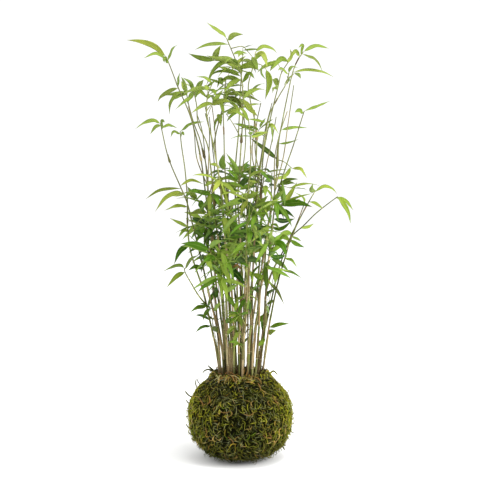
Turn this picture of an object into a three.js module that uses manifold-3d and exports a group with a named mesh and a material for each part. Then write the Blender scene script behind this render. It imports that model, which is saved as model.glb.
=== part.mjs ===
// Kokedama: a ball of soil and roots wrapped in moss, with a clump of bamboo growing out of its top.
// Millimetres, +Z up, origin at the middle of the flat spot that the ball rests on.
import * as THREE from 'three';
import Module from 'manifold-3d';

const wasm = await Module();
wasm.setup();

// ---- driving sizes ----
const BALL_RADIUS = 75;
const BALL_CENTRE = 67.8;        // height of the ball's centre: its bottom is pressed flat at z = 0
const MOUTH_RADIUS = 44;         // where the moss ends round the stems
const LIP_RADIUS = 38.5;         // inner edge of the moss at the mouth
const SOIL_RADIUS = 66;          // inside of the moss cover
const SOIL_CENTRE = 70.8;
const SOIL_TOP = 127.5;
const SOIL_DOME = 0.003;         // the soil falls by this times the square of the radius
const GAP = 0.3;                 // between pieces that touch
const MOSS_LUMP = 1.3;           // height of the moss's lumps
const SEGMENTS = 30;             // round the ball
const MOSS_RINGS = 12;           // up the outside of the moss
const HOLLOW_RINGS = 6;          // and up the inside
const SOIL_EDGE = 1.5;           // the soil banks up against the moss by this
const SOIL_RINGS = [29, 15];     // radii of the rings across the soil
const HOLE_DEPTH = 25;           // how deep each stem stands in the soil
const HOLE_LEAD = 12;            // the cutter of each hole runs on past the surface
const HOLE_RADIUS = 2.3;
const HOLE_SIDES = 6;
const CANE_BASE = 1.7;           // radius of a cane at the soil and at its tip
const CANE_TIP = 0.75;
const CANE_SIDES = 5;
const TWIG_RADIUS = 0.8;
const TWIG_SIDES = 4;
const SHEATH_FOOT = 4;           // height over which a sheath reaches its full width
const LEAF_LENGTH = 54;          // a full-grown leaf
const LEAF_WIDTH = 8;
const LEAF_LEAST = 1.2;          // width at the stalk and just before the tip
const LEAF_KEEL = 1.1;           // from the leaf's upper face down to its rib
const LEAF_STEPS = 12;           // points along a leaf's rib
const LEAF_RINGS = [0, 4, 8];    // the rib's points that carry a section, before the tip
const CLEARANCE = 3;             // between the samples of two different stems
const SAMPLE_STEP = 1.6;
const ROOT_REACH = 9;            // leaves of one stem may lie closer than this near their root
const ROOT_SPACING = 2;          // between the roots of the leaves that are listed
const LEAF_SHORT = 0.8;          // a leaf that is seen short is taken to be this much of the full length
const LEAF_SLIM = 0.9;           // and one that is seen thin this much of the full width
const LEAF_DEPTH = 34;           // the most that a leaf runs in depth
const BENDS = [1, 0.6, 1.4, 0.2, -0.4, -1, 1.9, -1.5];  // ways to share out a leaf's depth
const TWIG_DEPTH = 0.4;          // a twig's run in depth for each mm that is seen
const EYE_DISTANCE = 2000;       // the routes below are given as they are seen from here,
const EYE_HEIGHT = 560;          // on the upright plane through the axis, with a depth of their own

// ---- the stems ----
// base: where a cane leaves the soil, x and y. lean: the depth y of its tip.
// cane: x, z pairs from the soil to the tip. A twig or leaf starts at the nearest point of its stem.
// twig: [side, x, z, x, z ...]; leaf: [seen width, side, x, z, x, z ...], where side is the way that
// it runs in depth: -1 to the front, 1 to the back. sheath: [low z, high z, radius].
const STEMS = [
  { base: [-18, -6], lean: 4,
    cane: [-19, 150, -22, 180, -24, 205, -27, 240, -31, 268, -37, 300, -42, 335, -47, 368, -51, 400,
      -57, 443, -70, 497, -88, 541, -98, 567, -105, 585],
    twigs: [],
    leaves: [[8, 1, -106, 588, -122, 600, -142, 607, -162, 609], [5, -1, -107, 588, -120, 590, -138, 583],
      [4, 1, -104, 588, -96, 597, -88, 603], [5, -1, -105, 585, -107, 582, -108, 577],
      [4, -1, -87, 544, -88, 553, -86, 563], [6, 1, -88, 541, -100, 537, -113, 529, -118, 521],
      [5, -1, -51, 401, -43, 405, -33, 404]],
    sheaths: [[316, 342, 2.9], [436, 448, 2.2]] },
  { base: [-24, -12], lean: -12,
    cane: [-25, 150, -31, 186, -38, 214, -46, 246, -54, 284, -62, 318, -70, 350, -77, 378, -87, 402,
      -99, 430, -106, 452, -114, 490],
    twigs: [],
    leaves: [[5, -1, -115, 490, -124, 495, -138, 491, -151, 482], [5, 1, -115, 489, -122, 485, -129, 475],
      [4, 1, -113, 489, -101, 488, -90, 484], [4, -1, -114, 489, -112, 493, -108, 492],
      [4, 1, -85, 397, -94, 397, -117, 394, -137, 381], [6, -1, -82, 391, -92, 391, -108, 383, -123, 363],
      [4, 1, -80, 388, -90, 388, -98, 386], [5, -1, -79, 389, -67, 394, -53, 392],
      [4, -1, -75, 370, -90, 372, -109, 365], [4, 1, -86, 400, -70, 409, -52, 403],
      [5, -1, -53, 280, -64, 283, -76, 277], [5, -1, -39, 218, -34, 224, -28, 231],
      [6, -1, -66, 337, -59, 331, -49, 325], [5, 1, -63, 322, -56, 328, -47, 330]],
    sheaths: [[434, 446, 2.1], [238, 256, 2.5]] },
  { base: [-30, -2], lean: 26,
    cane: [-34, 156, -41, 190, -48, 222, -56, 256, -66, 286, -73, 312, -76, 345, -76, 380, -79, 422,
      -84, 458, -86, 479],
    twigs: [[-1, -50, 227, -60, 240, -70, 257, -79, 273, -81, 281]],
    leaves: [[4, -1, -85, 480, -70, 490, -50, 493], [4, -1, -87, 480, -95, 478, -100, 470],
      [4, -1, -86, 479, -83, 476, -80, 473], [4, 1, -76, 341, -87, 347, -102, 354],
      [5, -1, -76, 338, -82, 335, -89, 326], [8, -1, -73, 315, -87, 306, -96, 286],
      [4, 1, -81, 281, -88, 285, -98, 283, -112, 276], [7, -1, -80, 275, -92, 269, -107, 252],
      [4, -1, -81, 281, -72, 293, -60, 300], [5, -1, -49, 225, -61, 223, -73, 216],
      [3, 1, -44, 204, -55, 211, -66, 212], [3, -1, -43, 196, -55, 194, -66, 185],
      [5, -1, -42, 194, -37, 191, -32, 185]],
    sheaths: [[246, 262, 2.4]] },
  { base: [-28, 9], lean: 34,
    cane: [-31, 165, -33, 195, -36, 238, -42, 275, -47, 310, -48, 340, -46, 385, -48, 425, -57, 465,
      -66, 490, -73, 515, -77, 536],
    twigs: [[-1, -47, 370, -55, 377, -62, 381]],
    leaves: [[5, 1, -76, 537, -90, 533, -100, 519, -101, 503], [4, 1, -75, 531, -86, 530, -96, 524],
      [5, -1, -77, 537, -80, 548, -84, 557], [8, -1, -63, 381, -69, 389, -76, 400],
      [8, -1, -62, 380, -56, 373, -53, 360], [8, -1, -48, 362, -60, 364, -73, 360],
      [10, -1, -38, 251, -36, 245, -35, 235], [5, -1, -40, 264, -43, 262, -45, 253]],
    sheaths: [[440, 456, 2.3]] },
  { base: [-14, -16], lean: -40,
    cane: [-16, 165, -19, 200, -20, 230, -22, 260, -29, 305, -34, 340, -38, 385, -42, 425, -47, 460,
      -60, 490, -62, 515, -66, 536],
    twigs: [],
    leaves: [[6, -1, -66, 537, -71, 548, -82, 556], [5, -1, -65, 531, -79, 522, -93, 510],
      [6, 1, -65, 537, -57, 536, -45, 525], [5, -1, -65, 538, -60, 545, -54, 552],
      [4, -1, -42, 433, -35, 431, -28, 425], [6, -1, -37, 389, -28, 374, -14, 362],
      [7, -1, -35, 352, -45, 352, -58, 358], [7, 1, -34, 345, -43, 336, -53, 320]],
    sheaths: [[206, 250, 2.9], [372, 406, 2.4]] },
  { base: [-8, -24], lean: -60,
    cane: [-9, 175, -10, 205, -12, 245, -17, 285, -23, 335, -27, 385, -32, 425, -40, 468, -47, 495,
      -48, 513, -46, 531, -40, 547],
    twigs: [[-1, -48, 509, -43, 515, -38, 520]],
    leaves: [[4, 1, -40, 547, -50, 556, -64, 557], [5, -1, -43, 540, -38, 537, -34, 529],
      [6, -1, -38, 520, -52, 517, -70, 505], [6, 1, -38, 521, -31, 531, -24, 539],
      [6, -1, -37, 519, -25, 523, -12, 521], [5, -1, -25, 353, -12, 349, 1, 340],
      [10, -1, -16, 279, -5, 272, 9, 255], [8, -1, -21, 310, -30, 300, -33, 283],
      [8, -1, -19, 298, -24, 286, -34, 268]],
    sheaths: [[396, 410, 2]] },
  { base: [-5, -12], lean: -28,
    cane: [-7, 175, -6, 205, -5, 225, -9, 258, -13, 310, -13, 350, -19, 395, -22, 430, -23, 470, -24, 508],
    twigs: [],
    leaves: [[4, -1, -25, 507, -34, 494, -38, 478], [5, 1, -24, 508, -27, 520, -34, 530],
      [9, -1, -22, 424, -26, 434, -24, 447], [8, -1, -6, 199, -15, 204, -27, 198],
      [5, -1, -6, 198, -6, 184, -5, 166], [5, -1, -6, 200, -1, 208, 1, 219],
      [7, -1, -13, 343, -6, 333, -5, 318]],
    sheaths: [[208, 244, 2.7], [134, 158, 2.6]] },
  { base: [-1, -28], lean: -8,
    cane: [-2, 165, 0, 195, 3, 245, 2, 290, 0, 330, -3, 380, 0, 435, 4, 500, 4, 535, 1, 562, -6, 580,
      -13, 597, -19, 611],
    twigs: [[-1, -13, 597, 3, 600, 10, 594, 17, 586], [1, -4, 577, -20, 579, -38, 580],
      [-1, 2, 468, -10, 490, -19, 503]],
    leaves: [[5, 1, -19, 611, -25, 618, -35, 625, -48, 634], [7, -1, -18, 611, -9, 616, 5, 617],
      [5, -1, -16, 603, -30, 604, -48, 602, -65, 595], [8, -1, 17, 586, 22, 576, 26, 565],
      [5, 1, -9, 588, 0, 592, 11, 590], [8, -1, -39, 582, -33, 592, -27, 602],
      [8, 1, -40, 579, -58, 584, -74, 590], [6, -1, -5, 578, -25, 577, -38, 566, -49, 543],
      [8, -1, -2, 573, -15, 581, -33, 583, -48, 587], [6, 1, 2, 558, -18, 567, -35, 573],
      [5, -1, 1, 562, -16, 565, -33, 564, -43, 557], [6, 1, 0, 566, -10, 573, -20, 576],
      [8, -1, 0, 570, 13, 573, 28, 566], [7, -1, 2, 554, -13, 547, -24, 533],
      [6, 1, 2, 556, -16, 556, -30, 550], [6, -1, 3, 555, 13, 561, 21, 554],
      [8, -1, 4, 526, 14, 512, 26, 500], [5, -1, -19, 503, -6, 508, 12, 495],
      [7, -1, -1, 415, -9, 432, -20, 448], [4, 1, -1, 413, -11, 428, -21, 437],
      [4, 1, -1, 418, 6, 430, 14, 438], [5, -1, -2, 410, -12, 420, -22, 424],
      [5, 1, -2, 407, -14, 413, -26, 413], [9, -1, -2, 401, -14, 402, -29, 406],
      [8, -1, -1, 409, 10, 411, 22, 409], [6, 1, -1, 401, 16, 403, 31, 411],
      [4, -1, 2, 281, -5, 284, -12, 278]],
    sheaths: [[462, 476, 2.2]] },
  { base: [11, -20], lean: 14,
    cane: [14, 180, 16, 202, 13, 240, 13, 285, 17, 340, 24, 385, 22, 415, 24, 475, 15, 522, 12, 545,
      20, 576, 22, 592],
    twigs: [[-1, 20, 576, 30, 574, 37, 568]],
    leaves: [[5, 1, 22, 593, 33, 600, 46, 597, 53, 590], [7, -1, 22, 591, 31, 590, 36, 582, 39, 568],
      [9, -1, 37, 567, 42, 550, 36, 524], [3, 1, 31, 573, 31, 562, 37, 553],
      [5, -1, 23, 428, 34, 418, 47, 402]],
    sheaths: [[466, 490, 2.5], [376, 396, 2.4]] },
  { base: [5, -16], lean: -62,
    cane: [6, 175, 6, 215, 7, 255, 9, 300, 10, 345, 11, 385, 15, 430, 15, 465, 12, 498],
    twigs: [],
    leaves: [[3, 1, 13, 497, 25, 495, 38, 492], [5, -1, 12, 498, 5, 508, -3, 513],
      [7, -1, 10, 381, 4, 369, 0, 353], [7, -1, 10, 379, -3, 380, -17, 374]],
    sheaths: [[212, 240, 2.6]] },
  { base: [18, -10], lean: 66,
    cane: [21, 178, 25, 210, 27, 228, 26, 260, 30, 310, 31, 345, 30, 370, 31, 410, 35, 455, 46, 508,
      55, 545, 59, 562, 69, 578],
    twigs: [],
    leaves: [[8, -1, 68, 579, 58, 582, 43, 565], [5, 1, 69, 578, 73, 587, 71, 597],
      [6, -1, 30, 308, 22, 306, 14, 300]],
    sheaths: [[376, 400, 2.6], [218, 250, 2.4]] },
  { base: [22, -20], lean: 62,
    cane: [27, 180, 28, 215, 30, 252, 36, 290, 39, 335, 48, 378, 53, 420, 55, 460, 62, 500, 70, 540,
      75, 562, 81, 578, 90, 592],
    twigs: [[-1, 54, 438, 64, 435, 75, 426]],
    leaves: [[5, 1, 91, 594, 108, 601, 127, 597], [4, -1, 92, 592, 108, 581, 119, 563],
      [5, -1, 90, 594, 89, 601, 83, 598], [6, 1, 87, 589, 79, 593, 70, 580],
      [4, -1, 76, 563, 95, 567, 118, 564, 135, 556], [4, 1, 59, 481, 78, 485, 98, 484],
      [3, -1, 56, 462, 70, 463, 85, 468], [7, -1, 53, 438, 38, 452, 14, 470],
      [5, -1, 76, 427, 87, 425, 97, 411], [5, -1, 75, 425, 66, 416, 53, 413]],
    sheaths: [[426, 462, 2.4]] },
  { base: [15, -2], lean: -34,
    cane: [17, 170, 18, 195, 17, 245, 20, 300, 23, 365, 28, 418, 35, 462, 42, 502, 55, 528, 66, 547,
      70, 563],
    twigs: [],
    leaves: [[4, 1, 70, 563, 74, 571, 84, 570], [4, -1, 69, 564, 60, 568, 54, 566],
      [3, 1, 69, 562, 69, 554, 67, 546], [4, -1, 38, 483, 46, 488, 56, 475],
      [4, 1, 41, 493, 46, 482, 47, 462], [7, -1, 22, 352, 23, 345, 19, 333],
      [8, -1, 24, 367, 31, 377, 41, 387], [5, -1, 24, 370, 34, 368, 42, 354],
      [5, -1, 20, 274, 28, 266, 40, 260]],
    sheaths: [[246, 268, 2.2]] },
  { base: [26, -8], lean: -24,
    cane: [34, 172, 37, 205, 37, 235, 40, 280, 45, 322, 49, 362, 53, 386, 64, 422, 77, 460, 87, 492,
      92, 508],
    twigs: [[-1, 51, 378, 58, 373, 66, 371]],
    leaves: [[4, 1, 93, 509, 110, 515, 130, 523], [6, -1, 91, 507, 85, 509, 78, 506],
      [8, -1, 65, 372, 62, 389, 61, 409], [7, 1, 66, 373, 73, 390, 83, 407],
      [4, 1, 67, 373, 82, 384, 105, 390], [10, -1, 67, 371, 85, 376, 105, 370],
      [6, -1, 65, 371, 46, 375, 24, 368], [7, -1, 49, 359, 65, 364, 80, 354],
      [6, 1, 48, 352, 63, 350, 80, 353], [5, -1, 47, 339, 61, 339, 75, 350],
      [5, -1, 35, 180, 32, 172, 27, 165], [5, 1, 37, 225, 40, 221, 42, 213]],
    sheaths: [[308, 332, 2.4], [378, 390, 2.3]] },
  { base: [33, 0], lean: -18,
    cane: [38, 162, 42, 192, 50, 236, 57, 268, 66, 298, 73, 323, 84, 348, 98, 375, 109, 394],
    twigs: [],
    leaves: [[7, -1, 108, 394, 103, 395, 105, 404], [4, 1, 110, 395, 121, 400, 133, 397, 141, 388],
      [5, -1, 43, 193, 57, 198, 73, 199], [5, -1, 41, 184, 46, 187, 53, 189],
      [3, -1, 60, 278, 75, 275, 90, 266], [3, 1, 49, 231, 44, 231, 38, 227],
      [3, -1, 66, 297, 75, 292, 83, 282], [7, -1, 65, 297, 52, 297, 36, 302],
      [6, -1, 73, 323, 82, 316, 94, 311], [6, 1, 72, 322, 62, 327, 51, 319]],
    sheaths: [[318, 334, 2.3]] },
  { base: [29, 11], lean: 34,
    cane: [33, 170, 36, 212, 39, 250, 47, 276, 58, 297, 74, 326, 92, 343, 110, 361, 130, 377, 141, 385],
    twigs: [],
    leaves: [[6, -1, 141, 385, 150, 374, 157, 361, 160, 346], [5, 1, 142, 387, 153, 379, 164, 365],
      [4, -1, 119, 370, 110, 375, 98, 378], [5, -1, 41, 261, 54, 248, 65, 226],
      [10, -1, 51, 283, 52, 272, 51, 257], [3, 1, 88, 339, 97, 341, 107, 346],
      [3, -1, 76, 328, 82, 324, 89, 320]],
    sheaths: [[252, 276, 2.3]] },
  { base: [25, 20], lean: 60,
    cane: [31, 170, 38, 200, 46, 235, 55, 275, 66, 308, 78, 336, 86, 356, 93, 375],
    twigs: [],
    leaves: [[3, 1, 93, 376, 91, 384, 78, 392], [3, -1, 92, 374, 86, 379, 79, 377],
      [7, -1, 76, 332, 65, 332, 53, 324]],
    sheaths: [[326, 344, 2.1]] },
  { base: [-20, 20], lean: 92,
    cane: [-24, 175, -29, 215, -35, 260, -40, 310, -41, 360, -40, 412],
    twigs: [], leaves: [], sheaths: [] },
  { base: [-10, 27], lean: 112,
    cane: [-12, 180, -15, 230, -17, 280, -18, 335, -17, 390, -14, 435],
    twigs: [], leaves: [], sheaths: [] },
  { base: [0, 18], lean: 64,
    cane: [-2, 190, -4, 240, -4, 300, -6, 360, -7, 420, -2, 480, 0, 530, 4, 585],
    twigs: [], leaves: [], sheaths: [] },
  { base: [2, 32], lean: 122,
    cane: [4, 180, 9, 230, 15, 290, 19, 345, 20, 395, 20, 432],
    twigs: [], leaves: [], sheaths: [] },
  { base: [12, 24], lean: 84,
    cane: [16, 180, 23, 235, 33, 290, 41, 340, 45, 385, 46, 420],
    twigs: [], leaves: [], sheaths: [] },
  { base: [-12, 11], lean: 40,
    cane: [-14, 190, -17, 245, -20, 310, -25, 375, -31, 420, -37, 455, -34, 478, -27, 505, -22, 530,
      -20, 555],
    twigs: [],
    leaves: [[7, 1, -21, 531, 2, 533, 31, 521], [5, -1, -21, 533, -12, 538, -3, 532],
      [8, -1, -22, 527, -6, 524, 8, 505], [5, -1, -20, 552, -28, 551, -33, 541]],
    sheaths: [] },
  { base: [3, -35], lean: -98,
    cane: [5, 165, 8, 200, 10, 240, 10, 280, 9, 312, 10, 342],
    twigs: [],
    leaves: [[9, -1, 10, 341, 14, 331, 12, 315], [9, 1, 10, 322, 14, 309, 7, 296],
      [7, -1, 10, 320, -1, 312, -13, 300], [9, 1, 9, 288, -2, 293, -18, 284],
      [8, -1, 9, 290, 20, 294, 32, 289]],
    sheaths: [] },
  { base: [-17, -27], lean: -84,
    cane: [-19, 165, -22, 200, -25, 240, -31, 272, -39, 296, -45, 310],
    twigs: [],
    leaves: [[11, 1, -44, 306, -56, 312, -69, 316, -86, 317], [9, -1, -43, 303, -46, 291, -38, 275],
      [7, -1, -45, 310, -36, 318, -24, 321]],
    sheaths: [] },
  { base: [17, -31], lean: -84,
    cane: [20, 170, 24, 205, 29, 245, 37, 278, 44, 300, 50, 318],
    twigs: [],
    leaves: [[9, -1, 51, 319, 61, 315, 68, 297], [7, -1, 50, 318, 43, 328, 33, 332],
      [6, 1, 49, 316, 54, 325, 62, 331]],
    sheaths: [] },
];

// Foliage that the routes above don't name grows by rule inside these ovals, as seen from the front:
// centre x, z and half sizes.
const THICKETS = [
  [-8, 572, 42, 26], [-18, 536, 40, 20], [30, 572, 26, 24], [0, 414, 46, 24], [-4, 345, 62, 38],
  [-22, 292, 44, 26], [44, 334, 26, 40], [40, 545, 16, 18],
];
const SPRAY_LOW = 268;           // no spray below this height
const SPRAY_PITCH = 47;          // between the sprays of one stem
const SPRAY_LEAVES = 3;
const SPRAY_FAN = 0.8;           // angle between neighbouring leaves of a spray
const SPRAY_STEP = 2;            // samples of the cane between their roots
const SPRAY_SEED = 11;
const SPRAY_SPREAD = [0.8, 1.2]; // ranges of the draws: share of the pitch,
const SPRAY_TURN = [0, 0.3];     // turn off the fan,
const SPRAY_RISE = [0.5, 1];     // climb at the root,
const SPRAY_DROOP = [0.9, 2];    // bend down over the leaf's length,
const SPRAY_ROLL = [-0.6, 0.6];  // roll about its rib
const SPRAY_SIZE = [0.75, 1.05]; // and size
const SPRAY_ASIDES = [0, 0.9, -0.9, 1.9, -1.9, 3];      // turns that are tried to find room
const SPRAY_INSIDE = [6, 10];    // the rib's points that must lie in a thicket
const GOLDEN_ANGLE = 2.39996;

// ---- small vector tools ----
const add = (a, b) => [a[0] + b[0], a[1] + b[1], a[2] + b[2]];
const sub = (a, b) => [a[0] - b[0], a[1] - b[1], a[2] - b[2]];
const scale = (a, k) => [a[0] * k, a[1] * k, a[2] * k];
const cross = (a, b) => [a[1] * b[2] - a[2] * b[1], a[2] * b[0] - a[0] * b[2], a[0] * b[1] - a[1] * b[0]];
const length = (a) => Math.sqrt(a[0] * a[0] + a[1] * a[1] + a[2] * a[2]);
const unit = (a) => scale(a, 1 / Math.max(length(a), 1e-9));
const mix = (a, b, t) => add(scale(a, 1 - t), scale(b, t));
const pairs = (flat) => flat.flatMap((value, i) => (i % 2 ? [] : [[value, flat[i + 1]]]));

// A repeatable draw of numbers between two bounds.
function draws(seed) {
  let state = (seed * 2654435761) % 4294967296;
  return (low, high) => {
    state = (Math.imul(state, 1664525) + 1013904223) >>> 0;
    return low + ((high - low) * state) / 4294967296;
  };
}

// The real place of a point that is seen at x, z and lies at depth y, and the way back.
function placed(x, z, y) {
  const spread = 1 + y / EYE_DISTANCE;
  return [x * spread, y, EYE_HEIGHT + (z - EYE_HEIGHT) * spread];
}

function seen(p) {
  const spread = 1 + p[1] / EYE_DISTANCE;
  return [p[0] / spread, EYE_HEIGHT + (p[2] - EYE_HEIGHT) / spread];
}

// The tangent of a line of points at point i.
function heading(line, i) {
  return unit(sub(line[Math.min(i + 1, line.length - 1)], line[Math.max(i - 1, 0)]));
}

// A smooth line through the points, with the given number of equal steps.
function smooth(points, steps) {
  const reach = [0];
  for (let i = 1; i < points.length; i += 1) {
    reach.push(reach[i - 1] + length(sub(points[i], points[i - 1])));
  }
  const line = [];
  for (let k = 0; k <= steps; k += 1) {
    const s = (reach[reach.length - 1] * k) / steps;
    let i = 0;
    while (i < points.length - 2 && reach[i + 1] < s) i += 1;
    const t = (s - reach[i]) / (reach[i + 1] - reach[i]);
    const p1 = points[i];
    const p2 = points[i + 1];
    const p0 = points[i - 1] ?? sub(scale(p1, 2), p2);
    const p3 = points[i + 2] ?? sub(scale(p2, 2), p1);
    line.push([0, 1, 2].map((c) => 0.5 * (2 * p1[c] + (p2[c] - p0[c]) * t
      + (2 * p0[c] - 5 * p1[c] + 4 * p2[c] - p3[c]) * t * t
      + (3 * p1[c] - p0[c] - 3 * p2[c] + p3[c]) * t * t * t)));
  }
  return line;
}

// ---- routes of canes, twigs and leaves ----
// A cane stands straight in its hole, then follows its points while its depth runs to its lean.
function caneLine(stem) {
  const [x, y] = stem.base;
  const points = pairs(stem.cane);
  const top = points[points.length - 1][1];
  const rising = points.map(([px, pz]) => {
    const rise = Math.max(0, (pz - SOIL_TOP) / (top - SOIL_TOP));
    return placed(px, pz, y + (stem.lean - y) * rise ** 1.5);
  });
  const foot = [x, y, SOIL_TOP - SOIL_DOME * (x * x + y * y)];
  const down = unit(sub(foot, rising[0]));
  return [add(foot, scale(down, HOLE_DEPTH)), ...rising];
}

function caneRadius(line, p) {
  const rise = (p[2] - SOIL_TOP) / (line[line.length - 1][2] - SOIL_TOP);
  return CANE_BASE + (CANE_TIP - CANE_BASE) * Math.min(1, Math.max(0, rise));
}

// The sample of a stem that is seen nearest to x, z.
function nearest(samples, x, z) {
  let best = Infinity;
  let found = null;
  for (const p of samples) {
    const [px, pz] = seen(p);
    const far = (px - x) ** 2 + (pz - z) ** 2;
    if (far < best) {
      best = far;
      found = p;
    }
  }
  return found;
}

function twigLine(twig, samples) {
  const [side, ...flat] = twig;
  const points = pairs(flat);
  const root = nearest(samples, points[0][0], points[0][1]);
  const [tipX, tipZ] = points[points.length - 1];
  const run = Math.sqrt((tipX - points[0][0]) ** 2 + (tipZ - points[0][1]) ** 2);
  return points.map(([x, z], i) => (i === 0 ? root
    : placed(x, z, root[1] + (side * TWIG_DEPTH * run * i) / (points.length - 1))));
}

// A leaf is a line of rib points with the sideways direction and the full width at each of them.
function widthAt(t) {
  return Math.sin(Math.PI * t ** 0.7) ** 0.8;
}

function leafFrom(rib, around, roll, width) {
  const side = rib.map((p, i) => {
    const along = heading(rib, i);
    const across = unit(cross(along, around));
    return add(scale(across, Math.cos(roll)), scale(cross(along, across), Math.sin(roll)));
  });
  const wide = rib.map((p, i) => Math.max(LEAF_LEAST, width * widthAt(i / LEAF_STEPS)));
  return { rib, side, wide };
}

// A leaf that is seen from the front: its depth makes up for the length that isn't seen.
function seenLeaf(leaf, root, bend) {
  const [wide, side, ...flat] = leaf;
  const points = pairs(flat);
  const last = points[points.length - 1];
  let run = 0;
  for (let i = 1; i < points.length; i += 1) {
    run += Math.sqrt((points[i][0] - points[i - 1][0]) ** 2 + (points[i][1] - points[i - 1][1]) ** 2);
  }
  const whole = Math.max(LEAF_SHORT * LEAF_LENGTH, run);
  const depth = side * bend * Math.min(LEAF_DEPTH, Math.sqrt(whole * whole - run * run) + 5);
  const line = points.map(([x, z], i) => (i === 0 ? root
    : placed(x, z, root[1] + (depth * i) / (points.length - 1))));
  const width = Math.max(wide, LEAF_SLIM * LEAF_WIDTH);
  const turn = Math.acos(wide / width) * (last[0] > points[0][0] ? -1 : 1);
  return leafFrom(smooth(line, LEAF_STEPS), [0, 1, 0], turn, width);
}

// A leaf that grows by rule: it starts upwards and bends down towards its tip.
function grownLeaf(root, compass, rise, droop, roll, size) {
  const rib = [root];
  for (let i = 0; i < LEAF_STEPS; i += 1) {
    const angle = rise - (droop * (i + 0.5)) / LEAF_STEPS;
    const step = (LEAF_LENGTH * size) / LEAF_STEPS;
    const ahead = [Math.cos(angle) * Math.cos(compass), Math.cos(angle) * Math.sin(compass), Math.sin(angle)];
    rib.push(add(rib[i], scale(ahead, step)));
  }
  return leafFrom(rib, [0, 0, -1], roll, LEAF_WIDTH * (0.6 + 0.4 * size));
}

// ---- room between the stems ----
const room = new Map();

function cell(x, y, z) {
  return (x + 512) * 1048576 + (y + 512) * 1024 + z;
}

function occupy(samples, owner) {
  for (const p of samples) {
    const key = cell(...p.map((v) => Math.floor(v / CLEARANCE)));
    if (!room.has(key)) room.set(key, []);
    room.get(key).push([p, owner]);
  }
}

// Whether the samples keep their distance: from other stems, and from the same stem past its root.
function isFree(samples, owner, root) {
  return samples.every((p) => {
    const clearOfRoot = root && length(sub(p, root)) > ROOT_REACH;
    const [x, y, z] = p.map((v) => Math.floor(v / CLEARANCE));
    for (let i = 0; i < 27; i += 1) {
      const [dx, dy, dz] = [i % 3, Math.floor(i / 3) % 3, Math.floor(i / 9)];
      const near = room.get(cell(x + dx - 1, y + dy - 1, z + dz - 1)) ?? [];
      if (near.some(([q, other]) => (clearOfRoot || other !== owner)
        && length(sub(p, q)) < CLEARANCE)) return false;
    }
    return true;
  });
}

function lineSamples(line) {
  const samples = [];
  for (let i = 1; i < line.length; i += 1) {
    const steps = Math.ceil(length(sub(line[i], line[i - 1])) / SAMPLE_STEP);
    for (let k = 0; k <= steps; k += 1) samples.push(mix(line[i - 1], line[i], k / steps));
  }
  return samples;
}

// Five samples across the leaf at every half step, past its stalk.
function leafSamples(leaf) {
  const samples = [];
  for (let k = 2; k <= 2 * LEAF_STEPS; k += 1) {
    const i = Math.floor(k / 2);
    const j = Math.min(i + (k % 2), LEAF_STEPS);
    const centre = mix(leaf.rib[i], leaf.rib[j], 0.5);
    const reach = (leaf.wide[i] + leaf.wide[j]) / 4;
    for (let n = -2; n <= 2; n += 1) samples.push(add(centre, scale(leaf.side[i], (reach * n) / 2)));
  }
  return samples;
}

const insideThicket = (p) => {
  const [x, z] = seen(p);
  return THICKETS.some(([cx, cz, rx, rz]) => ((x - cx) / rx) ** 2 + ((z - cz) / rz) ** 2 < 1);
};

// Where each stem's twigs and leaves go. A leaf that would cross another stem is bent clear of it in
// depth, and one that finds no room isn't grown.
function growStems() {
  const plants = STEMS.map((stem) => {
    const line = caneLine(stem);
    const cane = lineSamples(line);
    const twigs = stem.twigs.map((twig) => twigLine(twig, cane));
    return { stem, line, twigs, spots: [...cane, ...twigs.flatMap(lineSamples)], leaves: [] };
  });
  plants.forEach(({ spots }, owner) => occupy(spots, owner));
  const settle = (plant, owner, choices, root) => {
    for (const choose of choices) {
      const leaf = choose();
      const samples = leafSamples(leaf);
      if (isFree(samples, owner, root)) {
        occupy(samples, owner);
        plant.leaves.push(leaf);
        return;
      }
    }
  };
  plants.forEach((plant, owner) => {
    for (const leaf of plant.stem.leaves) {
      const spots = plant.spots.filter((p) => (
        plant.leaves.every(({ rib }) => length(sub(rib[0], p)) > ROOT_SPACING)));
      const root = nearest(spots, leaf[2], leaf[3]);
      settle(plant, owner, BENDS.map((bend) => () => seenLeaf(leaf, root, bend)));
    }
  });
  plants.forEach((plant, owner) => {
    const draw = draws(owner + 11);
    const samples = lineSamples(plant.line);
    let next = SPRAY_LOW + draw(0, SPRAY_PITCH);
    let compass = draw(0, 2 * Math.PI);
    samples.slice(0, -SPRAY_LEAVES * SPRAY_STEP).forEach((root, i) => {
      if (root[2] < next || !insideThicket(root)) return;
      next = root[2] + SPRAY_PITCH * draw(...SPRAY_SPREAD);
      compass += GOLDEN_ANGLE;
      for (let n = 0; n < SPRAY_LEAVES; n += 1) {
        const turn = compass + SPRAY_FAN * (n - 1) + draw(...SPRAY_TURN);
        const rise = draw(...SPRAY_RISE);
        const droop = draw(...SPRAY_DROOP);
        const roll = draw(...SPRAY_ROLL);
        const size = draw(...SPRAY_SIZE);
        const start = samples[i + SPRAY_STEP * n];
        const choices = SPRAY_ASIDES.map((aside) => () => (
          grownLeaf(start, turn + aside, rise, droop, roll, size)));
        const kept = choices.filter((choose) => {
          const { rib } = choose();
          return SPRAY_INSIDE.every((k) => insideThicket(rib[k]));
        });
        settle(plant, owner, kept, start);
      }
    });
  });
  return plants;
}

// ---- solids ----
function solid(vertices, triangles) {
  return new wasm.Manifold(new wasm.Mesh({
    numProp: 3,
    vertProperties: Float32Array.from(vertices.flat()),
    triVerts: Uint32Array.from(triangles.flat()),
  }));
}

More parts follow.
